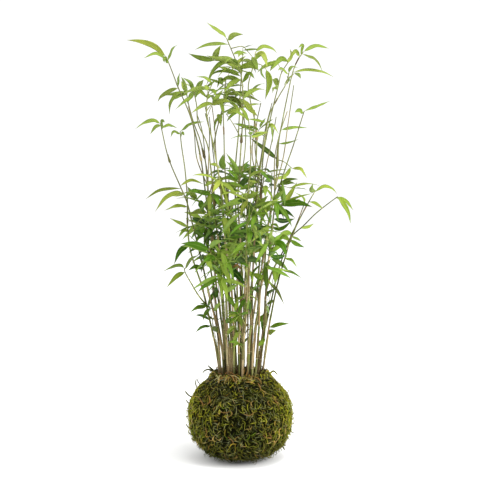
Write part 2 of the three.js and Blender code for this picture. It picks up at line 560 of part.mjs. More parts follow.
// Skin between rings of equal size, closed flat at the first and, without a tip, at the last.
function loft(rings, tip) {
  const sides = rings[0].length;
  const vertices = rings.flat();
  const triangles = [];
  for (let r = 1; r < rings.length; r += 1) {
    for (let i = 0; i < sides; i += 1) {
      const a = (r - 1) * sides + i;
      const b = (r - 1) * sides + ((i + 1) % sides);
      triangles.push([a, b, b + sides], [a, b + sides, a + sides]);
    }
  }
  const last = (rings.length - 1) * sides;
  for (let i = 1; i < sides - 1; i += 1) {
    triangles.push([0, i + 1, i]);
    if (!tip) triangles.push([last, last + i, last + i + 1]);
  }
  if (tip) {
    vertices.push(tip);
    for (let i = 0; i < sides; i += 1) {
      triangles.push([last + i, last + ((i + 1) % sides), vertices.length - 1]);
    }
  }
  return [vertices, triangles];
}

// A round rod along a line, with a radius for each of its points.
function rod(line, radii, sides) {
  let across = unit(cross(heading(line, 0), [0.3, 1, 0.1]));
  const rings = line.map((p, i) => {
    const along = heading(line, i);
    across = unit(cross(cross(along, across), along));
    const third = cross(along, across);
    return Array.from({ length: sides }, (_, k) => {
      const angle = (2 * Math.PI * k) / sides;
      return add(p, add(scale(across, radii[i] * Math.cos(angle)), scale(third, radii[i] * Math.sin(angle))));
    });
  });
  return solid(...loft(rings));
}

// A blade: two edges with a keel below them at each ring, and a sharp tip.
function blade(leaf) {
  const down = cross(leaf.side[4], heading(leaf.rib, 4));
  const turned = down[2] > 0;
  const ringAt = (i) => {
    const half = scale(leaf.side[i], leaf.wide[i] / 2);
    const keel = scale(cross(leaf.side[i], heading(leaf.rib, i)), turned ? -LEAF_KEEL : LEAF_KEEL);
    const [left, right, rib] = [add(leaf.rib[i], half), sub(leaf.rib[i], half), add(leaf.rib[i], keel)];
    return turned ? [left, rib, right] : [left, right, rib];
  };
  return solid(...loft(LEAF_RINGS.map(ringAt), leaf.rib[LEAF_STEPS]));
}

// The point of a cane that is seen at height z.
function atHeight(line, z) {
  const i = line.findIndex((p) => seen(p)[1] > z);
  const low = seen(line[i - 1])[1];
  return mix(line[i - 1], line[i], (z - low) / (seen(line[i])[1] - low));
}

// A cane swells where a papery sheath wraps it, widest near the sheath's foot.
function caneSolid({ line, stem }) {
  const marks = line.map((p) => [p, caneRadius(line, p)]);
  for (const [low, high, radius] of stem.sheaths) {
    const foot = atHeight(line, low);
    marks.push([foot, caneRadius(line, foot)], [atHeight(line, low + SHEATH_FOOT), radius]);
    marks.push([atHeight(line, high), 1.05 * caneRadius(line, atHeight(line, high))]);
  }
  marks.sort((a, b) => a[0][2] - b[0][2]);
  return rod(marks.map(([p]) => p), marks.map(([, radius]) => radius), CANE_SIDES);
}

function stemSolid(plant) {
  const parts = [
    ...plant.twigs.map((way) => rod(way, way.map(() => TWIG_RADIUS), TWIG_SIDES)),
    ...plant.leaves.map(blade),
  ];
  return parts.reduce((whole, part) => whole.add(part), caneSolid(plant));
}

// ---- the ball ----
// How far the moss stands out at an angle round the ball and one down from its top, 0 to 1.
function lump(angle, down) {
  const wave = Math.sin(5 * angle + 4 * down) * Math.sin(7 * down + 1)
    + Math.sin(9 * angle - 6 * down + 2) * Math.sin(11 * down)
    + Math.sin(3 * angle + 13 * down + 4);
  return 0.5 + wave / 6;
}

// A ring of points of one radius and height, with its radius swollen by a rule.
function ring(radius, height, swell = () => 0) {
  return Array.from({ length: SEGMENTS }, (_, k) => {
    const angle = (2 * Math.PI * k) / SEGMENTS;
    const reach = radius + swell(angle);
    return [reach * Math.cos(angle), reach * Math.sin(angle), height];
  });
}

// A body of rings from a point on the axis below to a point on the axis above.
function turned(bottom, rings, top) {
  const vertices = [...rings.flat(), bottom, top];
  const triangles = [];
  const low = rings.length * SEGMENTS;
  const last = low - SEGMENTS;
  for (let k = 0; k < SEGMENTS; k += 1) {
    const next = (k + 1) % SEGMENTS;
    triangles.push([low, next, k], [last + k, last + next, low + 1]);
    for (let r = SEGMENTS; r < low; r += SEGMENTS) {
      triangles.push([r - SEGMENTS + k, r - SEGMENTS + next, r + next]);
      triangles.push([r - SEGMENTS + k, r + next, r + k]);
    }
  }
  return solid(vertices, triangles);
}

// The inside of the moss, and the soil that fills it with a gap of its own: facet lies along facet,
// and the last ring is cut off at the height of the rim.
function hollowRings(radius, rimHeight) {
  const start = Math.asin(LIP_RADIUS / SOIL_RADIUS);
  const profile = Array.from({ length: HOLLOW_RINGS }, (_, i) => {
    const down = Math.PI - ((Math.PI - start) * (i + 1)) / HOLLOW_RINGS;
    return [radius * Math.sin(down), SOIL_CENTRE + radius * Math.cos(down)];
  });
  const [[lowRadius, low], [highRadius, high]] = profile.slice(-2);
  const cut = (rimHeight - low) / (high - low);
  profile[HOLLOW_RINGS - 1] = [lowRadius + (highRadius - lowRadius) * cut, rimHeight];
  return profile.map(([r, z]) => ring(r, z));
}

function mossCover() {
  const foot = Math.acos(-BALL_CENTRE / BALL_RADIUS);
  const mouth = Math.asin(MOUTH_RADIUS / BALL_RADIUS);
  const outside = Array.from({ length: MOSS_RINGS + 1 }, (_, i) => {
    const down = foot + ((mouth - foot) * i) / MOSS_RINGS;
    const calm = Math.min(1, i / 2);
    return ring(BALL_RADIUS * Math.sin(down), BALL_CENTRE + BALL_RADIUS * Math.cos(down),
      (angle) => MOSS_LUMP * calm * (lump(angle, down) - 0.5) * 2);
  });
  const lip = SOIL_CENTRE + Math.sqrt(SOIL_RADIUS ** 2 - LIP_RADIUS ** 2);
  const inside = hollowRings(SOIL_RADIUS, lip).reverse();
  return turned([0, 0, 0], [...outside, ...inside], [0, 0, SOIL_CENTRE - SOIL_RADIUS]);
}

function rootBall(plants) {
  const radius = SOIL_RADIUS - GAP;
  const edge = SOIL_TOP - SOIL_DOME * MOUTH_RADIUS * MOUTH_RADIUS + SOIL_EDGE;
  const side = hollowRings(radius, edge);
  const surface = SOIL_RINGS.map((r) => ring(r, SOIL_TOP - SOIL_DOME * r * r));
  const ball = turned([0, 0, SOIL_CENTRE - radius], [...side, ...surface], [0, 0, SOIL_TOP]);
  return plants.reduce((whole, { line }) => {
    const along = unit(sub(line[1], line[0]));
    const hole = [add(line[0], scale(along, -GAP)), add(line[0], scale(along, HOLE_DEPTH + HOLE_LEAD))];
    return whole.subtract(rod(hole, [HOLE_RADIUS, HOLE_RADIUS], HOLE_SIDES));
  }, ball);
}

// ---- the part ----
function mesh(name, body, colour, roughness) {
  const { vertProperties, triVerts } = body.getMesh();
  const geometry = new THREE.BufferGeometry();
  geometry.setAttribute('position', new THREE.BufferAttribute(vertProperties, 3));
  geometry.setIndex(new THREE.BufferAttribute(triVerts, 1));
  const material = new THREE.MeshStandardMaterial({ color: colour, roughness, metalness: 0 });
  const piece = new THREE.Mesh(geometry, material);
  piece.name = name;
  return piece;
}

const plants = growStems();
const kokedama = new THREE.Group();
kokedama.add(mesh('moss_cover', mossCover(), 0x4f5a1e, 0.95));
kokedama.add(mesh('root_ball', rootBall(plants), 0x3a2a1c, 0.95));
plants.forEach((plant, i) => {
  const name = `bamboo_stem_${String(i + 1).padStart(2, '0')}`;
  kokedama.add(mesh(name, stemSolid(plant), 0x5f8a1f, 0.6));
});

export default kokedama;
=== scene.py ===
# Looks of the kokedama: a moss ball with a clump of bamboo growing out of its top.
# Sizes are in millimetres until a mesh is written, +Z up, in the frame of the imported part.
import itertools
import math

import bpy
import numpy as np
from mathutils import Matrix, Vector
from mathutils.noise import noise as smooth_noise


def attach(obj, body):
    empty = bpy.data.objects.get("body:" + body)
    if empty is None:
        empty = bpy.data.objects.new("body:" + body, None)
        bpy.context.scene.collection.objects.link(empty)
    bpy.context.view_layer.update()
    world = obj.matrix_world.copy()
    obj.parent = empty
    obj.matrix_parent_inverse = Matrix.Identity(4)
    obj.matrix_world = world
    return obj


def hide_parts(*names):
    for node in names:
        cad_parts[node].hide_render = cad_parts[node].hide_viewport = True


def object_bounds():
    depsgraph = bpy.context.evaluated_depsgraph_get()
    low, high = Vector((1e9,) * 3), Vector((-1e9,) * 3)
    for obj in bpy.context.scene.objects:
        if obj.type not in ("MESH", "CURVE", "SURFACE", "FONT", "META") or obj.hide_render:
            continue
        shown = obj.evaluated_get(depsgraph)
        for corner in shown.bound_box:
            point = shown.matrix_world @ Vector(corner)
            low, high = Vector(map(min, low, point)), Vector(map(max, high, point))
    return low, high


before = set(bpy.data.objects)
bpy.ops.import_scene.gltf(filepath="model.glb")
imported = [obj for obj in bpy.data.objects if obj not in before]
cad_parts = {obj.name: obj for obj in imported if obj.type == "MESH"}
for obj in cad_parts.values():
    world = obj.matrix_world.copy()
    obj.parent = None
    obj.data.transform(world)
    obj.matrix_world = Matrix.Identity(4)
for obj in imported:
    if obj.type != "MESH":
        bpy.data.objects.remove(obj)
CAD_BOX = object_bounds()
MM_PER_M = 1000
SEED = 24
BY_RULE = "-"                   # the tone of a leaf that has no letter
DRY = "r"                       # the letter of a dry leaf
SHADED_BACK_LEAF = "k"                      # the letter of a small leaf at the back, kept dark as painted shade
CROWN_LOW = 440                 # where the open top of the clump begins
THICK_HALF = 62                 # half the width of its thick middle

# ---- sizes and rules shared with the part's source ----
BALL_RADIUS = 75
BALL_CENTRE = 67.8
MOUTH_RADIUS = 44
LIP_RADIUS = 38.5
SOIL_RADIUS = 66
SOIL_CENTRE = 70.8
SOIL_TOP = 127.5
SOIL_DOME = 0.003
MOSS_LUMP = 1.3
HOLE_DEPTH = 25
CANE_BASE = 1.7
CANE_TIP = 0.75
TWIG_RADIUS = 0.8
LEAF_LENGTH = 54
LEAF_WIDTH = 8
LEAF_LEAST = 1.2
LEAF_STEPS = 12
CLEARANCE = 3
SAMPLE_STEP = 1.6
ROOT_REACH = 9
ROOT_SPACING = 2
LEAF_SHORT = 0.8
LEAF_SLIM = 0.9
LEAF_DEPTH = 34
BENDS = (1, 0.6, 1.4, 0.2, -0.4, -1, 1.9, -1.5)
TWIG_DEPTH = 0.4
EYE_DISTANCE = 2000
EYE_HEIGHT = 560
THICKETS = (
  (-8, 572, 42, 26), (-18, 536, 40, 20), (30, 572, 26, 24), (0, 414, 46, 24), (-4, 345, 62, 38),
  (-22, 292, 44, 26), (44, 334, 26, 40), (40, 545, 16, 18),
)
SPRAY_LOW = 268
SPRAY_PITCH = 47
SPRAY_LEAVES = 3
SPRAY_FAN = 0.8
SPRAY_STEP = 2
SPRAY_SEED = 11
SPRAY_SPREAD = (0.8, 1.2)
SPRAY_TURN = (0, 0.3)
SPRAY_RISE = (0.5, 1)
SPRAY_DROOP = (0.9, 2)
SPRAY_ROLL = (-0.6, 0.6)
SPRAY_SIZE = (0.75, 1.05)
SPRAY_ASIDES = (0, 0.9, -0.9, 1.9, -1.9, 3)
SPRAY_INSIDE = (6, 10)
GOLDEN_ANGLE = 2.39996

# The stems, as in the part's source. Points are as seen, x and z. A twig has its side first, 1 to
# the back, and a leaf its width and side; a sheath is its foot, top and radius. A leaf may have a
# letter for its colour before that: l lime, y yellow, b bright green, m middle green, d dark
# (painted shade), o olive, r dry; without one it goes by rule.
STEMS = (
  dict(base=(-18, -6), lean=4,
    cane=(-19, 150, -22, 180, -24, 205, -27, 240, -31, 268, -37, 300, -42, 335, -47, 368, -51, 400,
      -57, 443, -70, 497, -88, 541, -98, 567, -105, 585),
    leaves=(("y", 8, 1, -106, 588, -122, 600, -142, 607, -162, 609),
      (5, -1, -107, 588, -120, 590, -138, 583), (4, 1, -104, 588, -96, 597, -88, 603),
      (5, -1, -105, 585, -107, 582, -108, 577), (4, -1, -87, 544, -88, 553, -86, 563),
      (6, 1, -88, 541, -100, 537, -113, 529, -118, 521), (5, -1, -51, 401, -43, 405, -33, 404)),
    sheaths=((316, 342, 2.9), (436, 448, 2.2))),
  dict(base=(-24, -12), lean=-12,
    cane=(-25, 150, -31, 186, -38, 214, -46, 246, -54, 284, -62, 318, -70, 350, -77, 378, -87, 402,
      -99, 430, -106, 452, -114, 490),
    leaves=((5, -1, -115, 490, -124, 495, -138, 491, -151, 482),
      (5, 1, -115, 489, -122, 485, -129, 475), (4, 1, -113, 489, -101, 488, -90, 484),
      (4, -1, -114, 489, -112, 493, -108, 492), (4, 1, -85, 397, -94, 397, -117, 394, -137, 381),
      (6, -1, -82, 391, -92, 391, -108, 383, -123, 363), (4, 1, -80, 388, -90, 388, -98, 386),
      (5, -1, -79, 389, -67, 394, -53, 392), (4, -1, -75, 370, -90, 372, -109, 365),
      (4, 1, -86, 400, -70, 409, -52, 403), (5, -1, -53, 280, -64, 283, -76, 277),
      (5, -1, -39, 218, -34, 224, -28, 231), (6, -1, -66, 337, -59, 331, -49, 325),
      (5, 1, -63, 322, -56, 328, -47, 330)),
    sheaths=((434, 446, 2.1), (238, 256, 2.5))),
  dict(base=(-30, -2), lean=26,
    cane=(-34, 156, -41, 190, -48, 222, -56, 256, -66, 286, -73, 312, -76, 345, -76, 380, -79, 422,
      -84, 458, -86, 479),
    twigs=((-1, -50, 227, -60, 240, -70, 257, -79, 273, -81, 281),),
    leaves=((4, -1, -85, 480, -70, 490, -50, 493), (4, -1, -87, 480, -95, 478, -100, 470),
      (4, -1, -86, 479, -83, 476, -80, 473), (4, 1, -76, 341, -87, 347, -102, 354),
      (5, -1, -76, 338, -82, 335, -89, 326), ("m", 8, -1, -73, 315, -87, 306, -96, 286),
      (4, 1, -81, 281, -88, 285, -98, 283, -112, 276), (7, -1, -80, 275, -92, 269, -107, 252),
      (4, -1, -81, 281, -72, 293, -60, 300), (5, -1, -49, 225, -61, 223, -73, 216),
      (3, 1, -44, 204, -55, 211, -66, 212), (3, -1, -43, 196, -55, 194, -66, 185),
      (5, -1, -42, 194, -37, 191, -32, 185)),
    sheaths=((246, 262, 2.4),)),
  dict(base=(-28, 9), lean=34,
    cane=(-31, 165, -33, 195, -36, 238, -42, 275, -47, 310, -48, 340, -46, 385, -48, 425, -57, 465,
      -66, 490, -73, 515, -77, 536),
    twigs=((-1, -47, 370, -55, 377, -62, 381),),
    leaves=((5, 1, -76, 537, -90, 533, -100, 519, -101, 503), (4, 1, -75, 531, -86, 530, -96, 524),
      (5, -1, -77, 537, -80, 548, -84, 557), ("l", 8, -1, -63, 381, -69, 389, -76, 400),
      ("m", 8, -1, -62, 380, -56, 373, -53, 360), ("y", 8, -1, -48, 362, -60, 364, -73, 360),
      (10, -1, -38, 251, -36, 245, -35, 235), (5, -1, -40, 264, -43, 262, -45, 253)),
    sheaths=((440, 456, 2.3),)),
  dict(base=(-14, -16), lean=-40,
    cane=(-16, 165, -19, 200, -20, 230, -22, 260, -29, 305, -34, 340, -38, 385, -42, 425, -47, 460,
      -60, 490, -62, 515, -66, 536),
    leaves=((6, -1, -66, 537, -71, 548, -82, 556), (5, -1, -65, 531, -79, 522, -93, 510),
      (6, 1, -65, 537, -57, 536, -45, 525), (5, -1, -65, 538, -60, 545, -54, 552),
      (4, -1, -42, 433, -35, 431, -28, 425), ("b", 6, -1, -37, 389, -28, 374, -14, 362),
      (7, -1, -35, 352, -45, 352, -58, 358), (7, 1, -34, 345, -43, 336, -53, 320)),
    sheaths=((206, 250, 2.9), (372, 406, 2.4))),
  dict(base=(-8, -24), lean=-60,
    cane=(-9, 175, -10, 205, -12, 245, -17, 285, -23, 335, -27, 385, -32, 425, -40, 468, -47, 495,
      -48, 513, -46, 531, -40, 547),
    twigs=((-1, -48, 509, -43, 515, -38, 520),),
    leaves=((4, 1, -40, 547, -50, 556, -64, 557), (5, -1, -43, 540, -38, 537, -34, 529),
      (6, -1, -38, 520, -52, 517, -70, 505), (6, 1, -38, 521, -31, 531, -24, 539),
      (6, -1, -37, 519, -25, 523, -12, 521), ("b", 5, -1, -25, 353, -12, 349, 1, 340),
      ("d", 10, -1, -16, 279, -5, 272, 9, 255), (8, -1, -21, 310, -30, 300, -33, 283),
      (8, -1, -19, 298, -24, 286, -34, 268)),
    sheaths=((396, 410, 2),)),
  dict(base=(-5, -12), lean=-28,
    cane=(-7, 175, -6, 205, -5, 225, -9, 258, -13, 310, -13, 350, -19, 395, -22, 430, -23, 470, -24,
      508),
    leaves=((4, -1, -25, 507, -34, 494, -38, 478), (5, 1, -24, 508, -27, 520, -34, 530),
      (9, -1, -22, 424, -26, 434, -24, 447), ("b", 8, -1, -6, 199, -15, 204, -27, 198),
      ("b", 5, -1, -6, 198, -6, 184, -5, 166), (5, -1, -6, 200, -1, 208, 1, 219),
      (7, -1, -13, 343, -6, 333, -5, 318)),
    sheaths=((208, 244, 2.7), (134, 158, 2.6))),
  dict(base=(-1, -28), lean=-8,
    cane=(-2, 165, 0, 195, 3, 245, 2, 290, 0, 330, -3, 380, 0, 435, 4, 500, 4, 535, 1, 562, -6, 580,
      -13, 597, -19, 611),
    twigs=((-1, -13, 597, 3, 600, 10, 594, 17, 586), (1, -4, 577, -20, 579, -38, 580),
      (-1, 2, 468, -10, 490, -19, 503)),
    leaves=((5, 1, -19, 611, -25, 618, -35, 625, -48, 634), ("l", 7, -1, -18, 611, -9, 616, 5, 617),
      (5, -1, -16, 603, -30, 604, -48, 602, -65, 595), ("m", 8, -1, 17, 586, 22, 576, 26, 565),
      (5, 1, -9, 588, 0, 592, 11, 590), ("l", 8, -1, -39, 582, -33, 592, -27, 602),
      (8, 1, -40, 579, -58, 584, -74, 590), ("b", 6, -1, -5, 578, -25, 577, -38, 566, -49, 543),
      ("l", 8, -1, -2, 573, -15, 581, -33, 583, -48, 587), (6, 1, 2, 558, -18, 567, -35, 573),
      (5, -1, 1, 562, -16, 565, -33, 564, -43, 557), (6, 1, 0, 566, -10, 573, -20, 576),
      ("b", 8, -1, 0, 570, 13, 573, 28, 566), (7, -1, 2, 554, -13, 547, -24, 533),
      (6, 1, 2, 556, -16, 556, -30, 550), (6, -1, 3, 555, 13, 561, 21, 554),
      ("l", 8, -1, 4, 526, 14, 512, 26, 500), (5, -1, -19, 503, -6, 508, 12, 495),
      ("b", 7, -1, -1, 415, -9, 432, -20, 448), ("b", 4, 1, -1, 413, -11, 428, -21, 437),
      ("b", 4, 1, -1, 418, 6, 430, 14, 438), ("b", 5, -1, -2, 410, -12, 420, -22, 424),
      ("b", 5, 1, -2, 407, -14, 413, -26, 413), ("b", 9, -1, -2, 401, -14, 402, -29, 406),
      ("d", 8, -1, -1, 409, 10, 411, 22, 409), ("b", 6, 1, -1, 401, 16, 403, 31, 411),
      ("r", 4, -1, 2, 281, -5, 284, -12, 278)),
    sheaths=((462, 476, 2.2),)),
  dict(base=(11, -20), lean=14,
    cane=(14, 180, 16, 202, 13, 240, 13, 285, 17, 340, 24, 385, 22, 415, 24, 475, 15, 522, 12, 545,
      20, 576, 22, 592),
    twigs=((-1, 20, 576, 30, 574, 37, 568),),
    leaves=((5, 1, 22, 593, 33, 600, 46, 597, 53, 590), (7, -1, 22, 591, 31, 590, 36, 582, 39, 568),
      (9, -1, 37, 567, 42, 550, 36, 524), (3, 1, 31, 573, 31, 562, 37, 553),
      (5, -1, 23, 428, 34, 418, 47, 402)),
    sheaths=((466, 490, 2.5), (376, 396, 2.4))),
  dict(base=(5, -16), lean=-62,
    cane=(6, 175, 6, 215, 7, 255, 9, 300, 10, 345, 11, 385, 15, 430, 15, 465, 12, 498),
    leaves=((3, 1, 13, 497, 25, 495, 38, 492), (5, -1, 12, 498, 5, 508, -3, 513),
      ("o", 7, -1, 10, 381, 4, 369, 0, 353), ("d", 7, -1, 10, 379, -3, 380, -17, 374)),
    sheaths=((212, 240, 2.6),)),
  dict(base=(18, -10), lean=66,
    cane=(21, 178, 25, 210, 27, 228, 26, 260, 30, 310, 31, 345, 30, 370, 31, 410, 35, 455, 46, 508,
      55, 545, 59, 562, 69, 578),
    leaves=((8, -1, 68, 579, 58, 582, 43, 565), (5, 1, 69, 578, 73, 587, 71, 597),
      ("y", 6, -1, 30, 308, 22, 306, 14, 300)),
    sheaths=((376, 400, 2.6), (218, 250, 2.4))),
  dict(base=(22, -20), lean=62,
    cane=(27, 180, 28, 215, 30, 252, 36, 290, 39, 335, 48, 378, 53, 420, 55, 460, 62, 500, 70, 540,
      75, 562, 81, 578, 90, 592),
    twigs=((-1, 54, 438, 64, 435, 75, 426),),
    leaves=((5, 1, 91, 594, 108, 601, 127, 597), (4, -1, 92, 592, 108, 581, 119, 563),
      (5, -1, 90, 594, 89, 601, 83, 598), (6, 1, 87, 589, 79, 593, 70, 580),
      (4, -1, 76, 563, 95, 567, 118, 564, 135, 556), (4, 1, 59, 481, 78, 485, 98, 484),
      (3, -1, 56, 462, 70, 463, 85, 468), ("d", 7, -1, 53, 438, 38, 452, 14, 470),
      (5, -1, 76, 427, 87, 425, 97, 411), (5, -1, 75, 425, 66, 416, 53, 413)),
    sheaths=((426, 462, 2.4),)),
  dict(base=(15, -2), lean=-34,
    cane=(17, 170, 18, 195, 17, 245, 20, 300, 23, 365, 28, 418, 35, 462, 42, 502, 55, 528, 66, 547,
      70, 563),
    leaves=((4, 1, 70, 563, 74, 571, 84, 570), (4, -1, 69, 564, 60, 568, 54, 566),
      (3, 1, 69, 562, 69, 554, 67, 546), (4, -1, 38, 483, 46, 488, 56, 475),
      (4, 1, 41, 493, 46, 482, 47, 462), ("l", 7, -1, 22, 352, 23, 345, 19, 333),
      ("l", 8, -1, 24, 367, 31, 377, 41, 387), ("l", 5, -1, 24, 370, 34, 368, 42, 354),
      (5, -1, 20, 274, 28, 266, 40, 260)),
    sheaths=((246, 268, 2.2),)),
  dict(base=(26, -8), lean=-24,
    cane=(34, 172, 37, 205, 37, 235, 40, 280, 45, 322, 49, 362, 53, 386, 64, 422, 77, 460, 87, 492,
      92, 508),
    twigs=((-1, 51, 378, 58, 373, 66, 371),),
    leaves=((4, 1, 93, 509, 110, 515, 130, 523), (6, -1, 91, 507, 85, 509, 78, 506),
      ("b", 8, -1, 65, 372, 62, 389, 61, 409), ("y", 7, 1, 66, 373, 73, 390, 83, 407),
      (4, 1, 67, 373, 82, 384, 105, 390), ("m", 10, -1, 67, 371, 85, 376, 105, 370),
      ("l", 6, -1, 65, 371, 46, 375, 24, 368), ("d", 7, -1, 49, 359, 65, 364, 80, 354),
      ("d", 6, 1, 48, 352, 63, 350, 80, 353), (5, -1, 47, 339, 61, 339, 75, 350),
      (5, -1, 35, 180, 32, 172, 27, 165), (5, 1, 37, 225, 40, 221, 42, 213)),
    sheaths=((308, 332, 2.4), (378, 390, 2.3))),
  dict(base=(33, 0), lean=-18,
    cane=(38, 162, 42, 192, 50, 236, 57, 268, 66, 298, 73, 323, 84, 348, 98, 375, 109, 394),
    leaves=((7, -1, 108, 394, 103, 395, 105, 404), (4, 1, 110, 395, 121, 400, 133, 397, 141, 388),
      ("b", 5, -1, 43, 193, 57, 198, 73, 199), (5, -1, 41, 184, 46, 187, 53, 189),
      (3, -1, 60, 278, 75, 275, 90, 266), (3, 1, 49, 231, 44, 231, 38, 227),
      (3, -1, 66, 297, 75, 292, 83, 282), ("d", 7, -1, 65, 297, 52, 297, 36, 302),
      ("b", 6, -1, 73, 323, 82, 316, 94, 311), (6, 1, 72, 322, 62, 327, 51, 319)),
    sheaths=((318, 334, 2.3),)),
  dict(base=(29, 11), lean=34,
    cane=(33, 170, 36, 212, 39, 250, 47, 276, 58, 297, 74, 326, 92, 343, 110, 361, 130, 377, 141,
      385),
    leaves=((6, -1, 141, 385, 150, 374, 157, 361, 160, 346), (5, 1, 142, 387, 153, 379, 164, 365),
      (4, -1, 119, 370, 110, 375, 98, 378), (5, -1, 41, 261, 54, 248, 65, 226),
      (10, -1, 51, 283, 52, 272, 51, 257), (3, 1, 88, 339, 97, 341, 107, 346),
      (3, -1, 76, 328, 82, 324, 89, 320)),
    sheaths=((252, 276, 2.3),)),
  dict(base=(25, 20), lean=60,
    cane=(31, 170, 38, 200, 46, 235, 55, 275, 66, 308, 78, 336, 86, 356, 93, 375),
    leaves=((3, 1, 93, 376, 91, 384, 78, 392), (3, -1, 92, 374, 86, 379, 79, 377),
      (7, -1, 76, 332, 65, 332, 53, 324)),
    sheaths=((326, 344, 2.1),)),
  dict(base=(-20, 20), lean=92,
    cane=(-24, 175, -29, 215, -35, 260, -40, 310, -41, 360, -40, 412)),
  dict(base=(-10, 27), lean=112,
    cane=(-12, 180, -15, 230, -17, 280, -18, 335, -17, 390, -14, 435)),
  dict(base=(0, 18), lean=64,
    cane=(-2, 190, -4, 240, -4, 300, -6, 360, -7, 420, -2, 480, 0, 530, 4, 585)),
  dict(base=(2, 32), lean=122,
    cane=(4, 180, 9, 230, 15, 290, 19, 345, 20, 395, 20, 432)),
  dict(base=(12, 24), lean=84,
    cane=(16, 180, 23, 235, 33, 290, 41, 340, 45, 385, 46, 420)),
  dict(base=(-12, 11), lean=40,
    cane=(-14, 190, -17, 245, -20, 310, -25, 375, -31, 420, -37, 455, -34, 478, -27, 505, -22, 530,
      -20, 555),
    leaves=(("d", 7, 1, -21, 531, 2, 533, 31, 521), (5, -1, -21, 533, -12, 538, -3, 532),
      ("d", 8, -1, -22, 527, -6, 524, 8, 505), (5, -1, -20, 552, -28, 551, -33, 541))),
  dict(base=(3, -35), lean=-98,
    cane=(5, 165, 8, 200, 10, 240, 10, 280, 9, 312, 10, 342),
    leaves=(("b", 9, -1, 10, 341, 14, 331, 12, 315), ("l", 9, 1, 10, 322, 14, 309, 7, 296),
      (7, -1, 10, 320, -1, 312, -13, 300), ("d", 9, 1, 9, 288, -2, 293, -18, 284),
      ("d", 8, -1, 9, 290, 20, 294, 32, 289))),
  dict(base=(-17, -27), lean=-84,
    cane=(-19, 165, -22, 200, -25, 240, -31, 272, -39, 296, -45, 310),
    leaves=(("m", 11, 1, -44, 306, -56, 312, -69, 316, -86, 317),
      ("l", 9, -1, -43, 303, -46, 291, -38, 275), (7, -1, -45, 310, -36, 318, -24, 321))),
  dict(base=(17, -31), lean=-84,
    cane=(20, 170, 24, 205, 29, 245, 37, 278, 44, 300, 50, 318),
    leaves=(("m", 9, -1, 51, 319, 61, 315, 68, 297), (7, -1, 50, 318, 43, 328, 33, 332),
      (6, 1, 49, 316, 54, 325, 62, 331))),
)


# ---- the growing rules, as in the part's source ----
def add(a, b):
    return (a[0] + b[0], a[1] + b[1], a[2] + b[2])


def sub(a, b):
    return (a[0] - b[0], a[1] - b[1], a[2] - b[2])


def scale(a, k):
    return (a[0] * k, a[1] * k, a[2] * k)


def cross(a, b):
    return (a[1] * b[2] - a[2] * b[1], a[2] * b[0] - a[0] * b[2], a[0] * b[1] - a[1] * b[0])


def length(a):
    return math.sqrt(a[0] * a[0] + a[1] * a[1] + a[2] * a[2])


def unit(a):
    return scale(a, 1 / max(length(a), 1e-9))


def mix(a, b, t):
    return add(scale(a, 1 - t), scale(b, t))


def pairs(flat):
    return list(zip(flat[::2], flat[1::2]))


def draws(seed):
    """A repeatable draw of numbers between two bounds."""
    state = seed * 2654435761 % 4294967296

    def draw(low, high):
        nonlocal state
        state = (state * 1664525 + 1013904223) % 4294967296
        return low + (high - low) * state / 4294967296

    return draw


def placed(x, z, y):
    """The real place of a point that is seen at x, z and lies at depth y."""
    spread = 1 + y / EYE_DISTANCE
    return (x * spread, y, EYE_HEIGHT + (z - EYE_HEIGHT) * spread)


def seen(p):
    spread = 1 + p[1] / EYE_DISTANCE
    return (p[0] / spread, EYE_HEIGHT + (p[2] - EYE_HEIGHT) / spread)


def heading(line, i):
    return unit(sub(line[min(i + 1, len(line) - 1)], line[max(i - 1, 0)]))


def smooth(points, steps):
    """A smooth line through the points, with the given number of equal steps."""
    reach = [0]
    for a, b in zip(points, points[1:]):
        reach.append(reach[-1] + length(sub(b, a)))
    line = []
    for k in range(steps + 1):
        s = reach[-1] * k / steps
        i = 0
        while i < len(points) - 2 and reach[i + 1] < s:
            i += 1
        t = (s - reach[i]) / (reach[i + 1] - reach[i])
        p1, p2 = points[i], points[i + 1]
        p0 = points[i - 1] if i > 0 else sub(scale(p1, 2), p2)
        p3 = points[i + 2] if i + 2 < len(points) else sub(scale(p2, 2), p1)
        line.append(tuple(
            0.5 * (2 * p1[c] + (p2[c] - p0[c]) * t
                   + (2 * p0[c] - 5 * p1[c] + 4 * p2[c] - p3[c]) * t * t
                   + (3 * p1[c] - p0[c] - 3 * p2[c] + p3[c]) * t * t * t) for c in range(3)))
    return line


def cane_line(stem):
    x, y = stem["base"]
    points = pairs(stem["cane"])
    top = points[-1][1]
    rising = []
    for px, pz in points:
        rise = max(0, (pz - SOIL_TOP) / (top - SOIL_TOP))
        rising.append(placed(px, pz, y + (stem["lean"] - y) * rise ** 1.5))
    foot = (x, y, SOIL_TOP - SOIL_DOME * (x * x + y * y))
    down = unit(sub(foot, rising[0]))
    return [add(foot, scale(down, HOLE_DEPTH))] + rising


def nearest(samples, x, z):
    return min(samples, key=lambda p: (seen(p)[0] - x) ** 2 + (seen(p)[1] - z) ** 2)


def twig_line(twig, samples):
    side, points = twig[0], pairs(twig[1:])
    root = nearest(samples, *points[0])
    run = math.dist(points[-1], points[0])
    last = len(points) - 1
    return [root] + [
        placed(x, z, root[1] + side * TWIG_DEPTH * run * i / last)
        for i, (x, z) in enumerate(points) if i]


def width_at(t):
    return math.sin(math.pi * t ** 0.7) ** 0.8 if t < 1 else 0


def leaf_from(rib, around, roll, width):
    side = []
    for i in range(len(rib)):
        along = heading(rib, i)
        across = unit(cross(along, around))
        side.append(add(scale(across, math.cos(roll)), scale(cross(along, across), math.sin(roll))))
    wide = [max(LEAF_LEAST, width * width_at(i / LEAF_STEPS)) for i in range(len(rib))]
    return dict(rib=rib, side=side, wide=wide, width=width)


